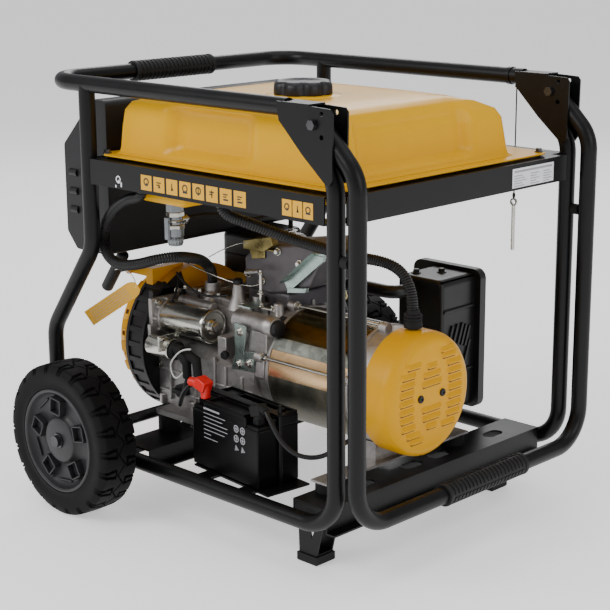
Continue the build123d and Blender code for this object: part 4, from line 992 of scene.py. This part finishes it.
def blower_guard():
    """The dark moulded guard over the battery side of the blower shroud."""
    shape = Shape()
    arc(shape, -298, -252, 136.4, 139.5, 126, 258)
    arc(shape, -251.2, -250.3, 70, 138, 110, 262)
    for k in range(11):
        arc(shape, -292, -258, 139.0, 142.5, 130 + 11.5 * k, 134 + 11.5 * k)
    arc(shape, -299, -292, 128, 143, 126, 258)
    arc(shape, -258, -251, 128, 143, 126, 258)
    shape.box((-262, -160, 300), (-250.3, -104, 356))
    shape.done("blower_guard", "plastic", bevel=1.5)
    yellow = Shape()
    for k in range(20):
        arc(yellow, -330, -308, 125.0, 129.5, 18 * k, 18 * k + 9)
    yellow.done("recoil_ribs", "cover", bevel=1.2)


# ---------- battery ----------
BATTERY = (34.0, -200.0)         # its middle, X and Y
BATTERY_TURN = Matrix.Rotation(math.radians(-6.0), 3, "Z")


def on_battery(x, y, z):
    """A place given along the battery's own sides."""
    spot = BATTERY_TURN @ Vector((x, y, 0))
    return (BATTERY[0] + spot.x, BATTERY[1] + spot.y, z)


def battery_block(shape, x0, x1, y0, y1, z0, z1):
    points = [on_battery(x, y, z) for x in (x0, x1) for y in (y0, y1) for z in (z0, z1)]
    shape.add(points, BOX_FACES)


def battery():
    """The case with its stepped lid."""
    top = 220.0
    case = Shape()
    battery_block(case, -90, 90, -50, 37, 100, top - 20)
    battery_block(case, -57, 57, -49, 37, top - 22, top - 4)
    battery_block(case, -90, 90, -18, 37, top - 22, top - 4)
    battery_block(case, -89, -57, -48, -17, top - 22, top - 14)
    battery_block(case, 57, 89, -48, -17, top - 22, top - 14)
    piece = case.done("battery_case", "battery", bevel=3.0, segments=3)
    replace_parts(piece, "battery")
    lid = Shape()
    for x0, x1, y0, y1 in ((-88, 88, 33, 36), (-88, 88, -16, -13), (-88, -85, -16, 36), (85, 88, -16, 36),
                           (-54, 54, -48, -45), (-54, -51, -48, -14), (51, 54, -48, -14), (-40, 70, -6, -3),
                           (-40, 70, 24, 27), (-40, -37, -6, 27), (67, 70, -6, 27)):
        battery_block(lid, x0, x1, y0, y1, top - 5, top)
    for x in (-74.0, 74.0):
        battery_block(lid, x - 7, x + 7, -41, -27, top - 16, top - 3)
    lid.done("battery_lid_ribs", "battery", bevel=0.9)


def battery_marks():
    """Plain bars and round signs in place of the printed face."""
    marks = Shape()
    face, thin = -50.0, -50.5
    for row in range(8):
        z = 205 - row * 7.2
        reach = (44, 60, 52, 66, 66, 58, 20, 38)[row]
        battery_block(marks, -56, -56 + reach, thin, face, z, z + (3.2 if row == 0 else 1.2))
    for column in range(2):
        for row in range(3):
            x, z = 34 + column * 17, 192 - row * 17
            centre = on_battery(x, face, z)
            out = BATTERY_TURN @ Vector((0, -1, 0))
            sides = 32 if row < 2 else 3
            marks.lathe([(0, 6.4), (0.5, 6.4), (0.5, 4.6), (0, 4.6), (0, 6.4)], centre, out, sides,
                        closed=False)
            battery_block(marks, x - 3.4, x + 3.4, thin, face, z - 0.9, z + 0.9)
            battery_block(marks, x - 0.9, x + 0.9, thin, face, z - 3.4, z + 3.4)
    marks.done("battery_marks", "grey_ink", slot="battery_case")


def battery_boots():
    """The red and black boots on the terminals."""
    boot = Shape()
    boot.rod((-41, -226, 216), (-42, -226, 240), 8.5, 24)
    boot.rod((-44, -226, 240), (-76, -230, 240), 8.0, 24)
    boot.box((-58, -238, 230), (-34, -215, 250), Matrix.Rotation(0.35, 3, "Y"))
    boot.done("positive_boot", "red", bevel=2.0)
    black = Shape()
    black.rod((104, -241.5, 214), (104, -241.5, 236), 8.0, 24)
    black.box((92, -252, 222), (116, -231, 240), Matrix.Rotation(-0.3, 3, "Y"))
    black.rod((112, -244, 238), (130, -251, 236), 6.5, 24)
    black.done("negative_boot", "rubber", bevel=2.0)


# ---------- marks without lettering ----------
def mark_shapes(shape, x, z, kind, size, y0, y1):
    """A small generic sign made of bars, rings and arrows."""
    u = size
    if kind in (0, 3, 6):
        shape.lathe([(0, u * 0.34), (0.3, u * 0.34), (0.3, u * 0.22), (0, u * 0.22), (0, u * 0.34)],
                    (x, y1, z + u * 0.06), (0, -1, 0), 24, closed=False)
    if kind in (0, 1, 4):
        shape.plate([(x - u * 0.12, y0, z - u * 0.3), (x + u * 0.2, y0, z - u * 0.3),
                     (x + u * 0.04, y0, z + u * 0.05)], (0, 1, 0), y1 - y0)
    if kind in (1, 2, 5, 7):
        shape.box((x - u * 0.3, y0, z + u * 0.1), (x + u * 0.25, y1, z + u * 0.2))
        shape.box((x - u * 0.3, y0, z - u * 0.1), (x + u * 0.1, y1, z))
    if kind in (2, 4, 6):
        shape.box((x - u * 0.05, y0, z - u * 0.34), (x + u * 0.05, y1, z + u * 0.3))
    if kind in (3, 5, 7):
        shape.box((x - u * 0.28, y0, z - u * 0.36), (x + u * 0.3, y1, z - u * 0.22))


def stickers():
    y0, y1 = -300.35, -300.0
    fields, ink = Shape(), Shape()
    kinds = (0, 1, 4, 3, 6, 2, 5, 7, 0, 4, 3)
    centres = [-92 + i * 31.6 for i in range(8)] + [231 + i * 22.0 for i in range(3)]
    for i, x in enumerate(centres):
        half = 13.4 if i < 8 else 10.0
        fields.box((x - half, y0, 577), (x + half, y1, 602))
        mark_shapes(ink, x, 590, kinds[i], 19 if i < 8 else 16, y0 - 0.25, y0)
    fields.done("step_stickers", "sticker", bevel=0.1)
    ink.done("step_signs", "ink")
    white = Shape()
    mark_shapes(white, -164, 586, 0, 18, y0, y1)
    white.box((-158, y0, 575), (-155, y1, 583))
    white.box((-172, y0, 573), (-169, y1, 577))
    white.done("warning_sign", "label")
    plate = Shape()
    plate.box((330.5, 123, 575), (330.9, 237, 607))
    plate.done("rating_plate", "label", bevel=0.1)
    lines = Shape()
    lines.box((330.9, 128, 600), (331.1, 232, 603.5))
    for row in range(5):
        z = 594 - row * 4.2
        lines.box((330.9, 128, z), (331.1, 150 + (row % 3) * 6, z + 1.5))
        lines.box((330.9, 172, z), (331.1, 196 - (row % 2) * 8, z + 1.5))
        lines.box((330.9, 208, z), (331.1, 226 + (row % 2) * 5, z + 1.5))
    lines.done("rating_lines", "grey_ink")


def panel_details():
    """Screws, bezels, divisions, a dial and a lamp on the control panel, and ribs on the box round it."""
    face = -375.0
    trim = Shape()
    for y in (-238, -28, 182):
        for z in (484, 608):
            trim.lathe([(0, 5.2), (1.2, 5.0), (2.4, 3.6), (2.4, 1.6), (1.2, 1.4), (1.2, 0.2)], (face, y, z),
                       (-1, 0, 0), 24)
    trim.done("panel_screws", "zinc")
    bezels = Shape()
    for y, z, radius in ((-150, 520, 26), (-70, 520, 26), (30, 515, 30)):
        bezels.lathe([(0, radius + 0.4), (0, radius + 5), (1.6, radius + 4), (2.2, radius + 1.4),
                      (0, radius + 0.4)], (face, y, z), (-1, 0, 0), 64, closed=False)
    for y, z, wide, tall in ((-110, 588, 24, 20), (70, 590, 14, 20)):
        for side in (-1, 1):
            bezels.box((face - 2.8, y + side * (wide + 2) - 2, z - tall - 4),
                       (face, y + side * (wide + 2) + 2, z + tall + 4))
            bezels.box((face - 2.8, y - wide, z + side * (tall + 2) - 2),
                       (face, y + wide, z + side * (tall + 2) + 2))
    bezels.lathe([(0, 9.6), (0, 13), (2, 12), (2, 9.6), (0, 9.6)], (face, 130, 590), (-1, 0, 0), 48,
                 closed=False)
    bezels.lathe([(0, 8), (2, 8), (3, 6.6), (3, 5)], (face, 10, 590), (-1, 0, 0), 32)
    bezels.done("panel_bezels", "plastic", bevel=0.4)
    lamp = Shape()
    lamp.lathe([(2.4, 5), (4.6, 4.4), (5.8, 2.6), (6.2, 0.2)], (face, 10, 590), (-1, 0, 0), 32)
    lamp.done("oil_lamp", "red", slot="housing_plastic", angle=50)
    lines = Shape()
    for z in (562.0, 614.5):
        lines.box((face - 0.3, -228, z), (face, 172, z + 1.4))
    for y in (-28.0, 92.0):
        lines.box((face - 0.3, y, 488), (face, y + 1.4, 556))
    for i in range(9):
        a = math.radians(50 + 10 * i)
        near, far = (14.0, 18.0) if i % 4 else (12.5, 18.0)
        for reach in (near, (near + far) / 2, far):
            y, z = -110 - reach * math.cos(a), 581 + reach * math.sin(a)
            lines.box((-376.6, y - 0.5, z - 1.0), (-376.0, y + 0.5, z + 1.0))
    lines.done("panel_lines", "grey_ink")
    needle = Shape()
    needle.plate([(-376.8, -111.2, 581), (-376.8, -108.8, 581), (-376.8, -119.6, 597)], (1, 0, 0), 0.5)
    needle.done("dial_needle", "ink")
    ribs = Shape()
    for y in (-180, -120, -60, 0, 60, 120):
        ribs.plate([(-373.4, y - 2, 630), (-332.4, y - 2, 671), (-330, y - 2, 668), (-371, y - 2, 626)],
                   (0, 1, 0), 4)
    ribs.done("control_box_ribs", "plastic", bevel=0.6)


def paper_tag():
    """A card tag that hangs from the starter handle by a string."""
    card = Shape()
    start, end = Vector((-212, -226, 384)), Vector((-338, -236, 306))
    along = (end - start).normalized()
    across = Vector((0.18, -0.2, 1.0))
    across = (across - along * across.dot(along)).normalized()
    count = 14
    points = []
    lift = along.cross(across).normalized()
    for i in range(count + 1):
        t = i / count
        wave = lift * 3.5 * math.sin(t * math.pi * 1.3)
        half = 15 if i > 1 else 8 + 5 * i
        for side, skin in ((-1, -0.25), (-1, 0.25), (1, 0.25), (1, -0.25)):
            points.append(start.lerp(end, t) + across * side * half + wave + lift * skin)
    card.add(points, bands(count + 1, 4) + caps(count + 1, 4))
    card.done("starter_tag", "sticker", "pull_handle")
    lines = Shape()
    for k in range(5):
        side = -10 + k * 4.6
        for i in range(3, count - 1):
            t0, t1 = i / count, (i + 0.85) / count
            quad = []
            for skin in (0.26, 0.5):
                for t, w in ((t0, 0), (t1, 0), (t1, 0.7), (t0, 0.7)):
                    wave = lift * 3.5 * math.sin(t * math.pi * 1.3)
                    quad.append(start.lerp(end, t) + across * (side + w) + wave - lift * skin)
            lines.add(quad, bands(2, 4) + caps(2, 4))
    lines.done("starter_tag_lines", "grey_ink", "pull_handle")
    string = Shape()
    hose(string, [tuple(start + along * 6), (-232, -214, 392), (-280, -196, 398), (-318, -184, 392),
                  (-340, -176, 384)], 0.8, 2.0, 8)
    string.done("starter_tag_string", "white", "pull_handle", "cord_fibre", angle=60)


# ---------- wiring ----------
CONDUITS = [
    [(-138, -272, 570.8), (-138, -272, 556), (-182, -265, 548), (-230, -262, 521), (-259, -262, 482),
     (-258, -262, 446), (-222, -262, 425), (-170, -260, 434), (-128, -248, 449), (-112, -214, 450),
     (-124, -170, 438), (-150, -130, 424), (-172, -98, 408), (-178, -80, 390), (-178, -80, 372.3)],
    [(58, -272, 570.8), (58, -272, 554), (104, -254, 541), (148, -208, 516), (166, -152, 494),
     (184, -96, 474), (210, -52, 463), (240, -42, 448), (257, -42, 418), (263, -44, 388), (263, -44, 362.3)],
]
LEADS = [
    [(-42.9, -226.1, 216.2), (-43, -226, 238), (-68, -230, 240), (-100, -224, 214), (-124, -214, 180),
     (-140, -196, 184), (-136, -180, 226), (-140, -174, 262), (-162.8, -174, 264)],
    [(104.2, -241.5, 216.2), (104.5, -242, 238), (128, -250, 238), (150, -254, 214), (172, -252, 188),
     (198, -244, 174), (222, -222, 172), (228, -190, 180), (228, -158, 188), (228, -125, 190)],
]


def wiring():
    shape = Shape()
    for route in CONDUITS:
        hose(shape, route, 9.6, ripple=1.6, pitch=4.2, segments=24)
    piece = shape.done("corrugated_conduits", "conduit", angle=60)
    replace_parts(piece, "wiring_conduits")
    leads = Shape()
    for route in LEADS:
        hose(leads, route, 3.9)
    piece = leads.done("battery_leads", "sheath", angle=60)
    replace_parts(piece, "battery_cables")
    boots = Shape()
    boots.lathe([(0, 15), (4, 15.5), (10, 14), (22, 12.5), (26, 11), (30, 10)], (263, -44, 361), (0, 0, 1),
                32)
    for k in range(4):
        boots.lathe([(0, 12.5), (1.2, 15.0), (3.2, 15.0), (4.4, 12.5)], (263, -44, 364 + k * 5.2),
                    (0, 0, 1), 32)
    boots.done("lead_boots", "rubber", angle=50)


paint_nodes()
camera()
studio()
lanyard()
fuel_tank()
tank_flange()
fuel_cap()
grip("rail_grip_sleeve", (-360.7, 738.0), (-100.0, 90.0), "frame", "top_rail_grip")
grip("handle_grip_sleeve", (364.3, 108.0), (-85.0, 123.0), "handle", "handle_grip")
tyre("front_tyre_tread", -1, "front_wheel", "front_tyre")
tyre("rear_tyre_tread", 1, "rear_wheel", "rear_tyre")
rim("front_rim_dish", -1, "front_wheel", "front_rim")
rim("rear_rim_dish", 1, "rear_wheel", "rear_rim")
alternator_cover()
stator_wrap()
starter()
solenoid()
engine_castings()
cylinder_duct()
governor_brackets()
engine_bolts()
engine_dark_parts()
governor_spring()
valve_details()
muffler_details()
blower_guard()
battery()
battery_marks()
battery_boots()
wiring()
stickers()
panel_details()
paper_tag()
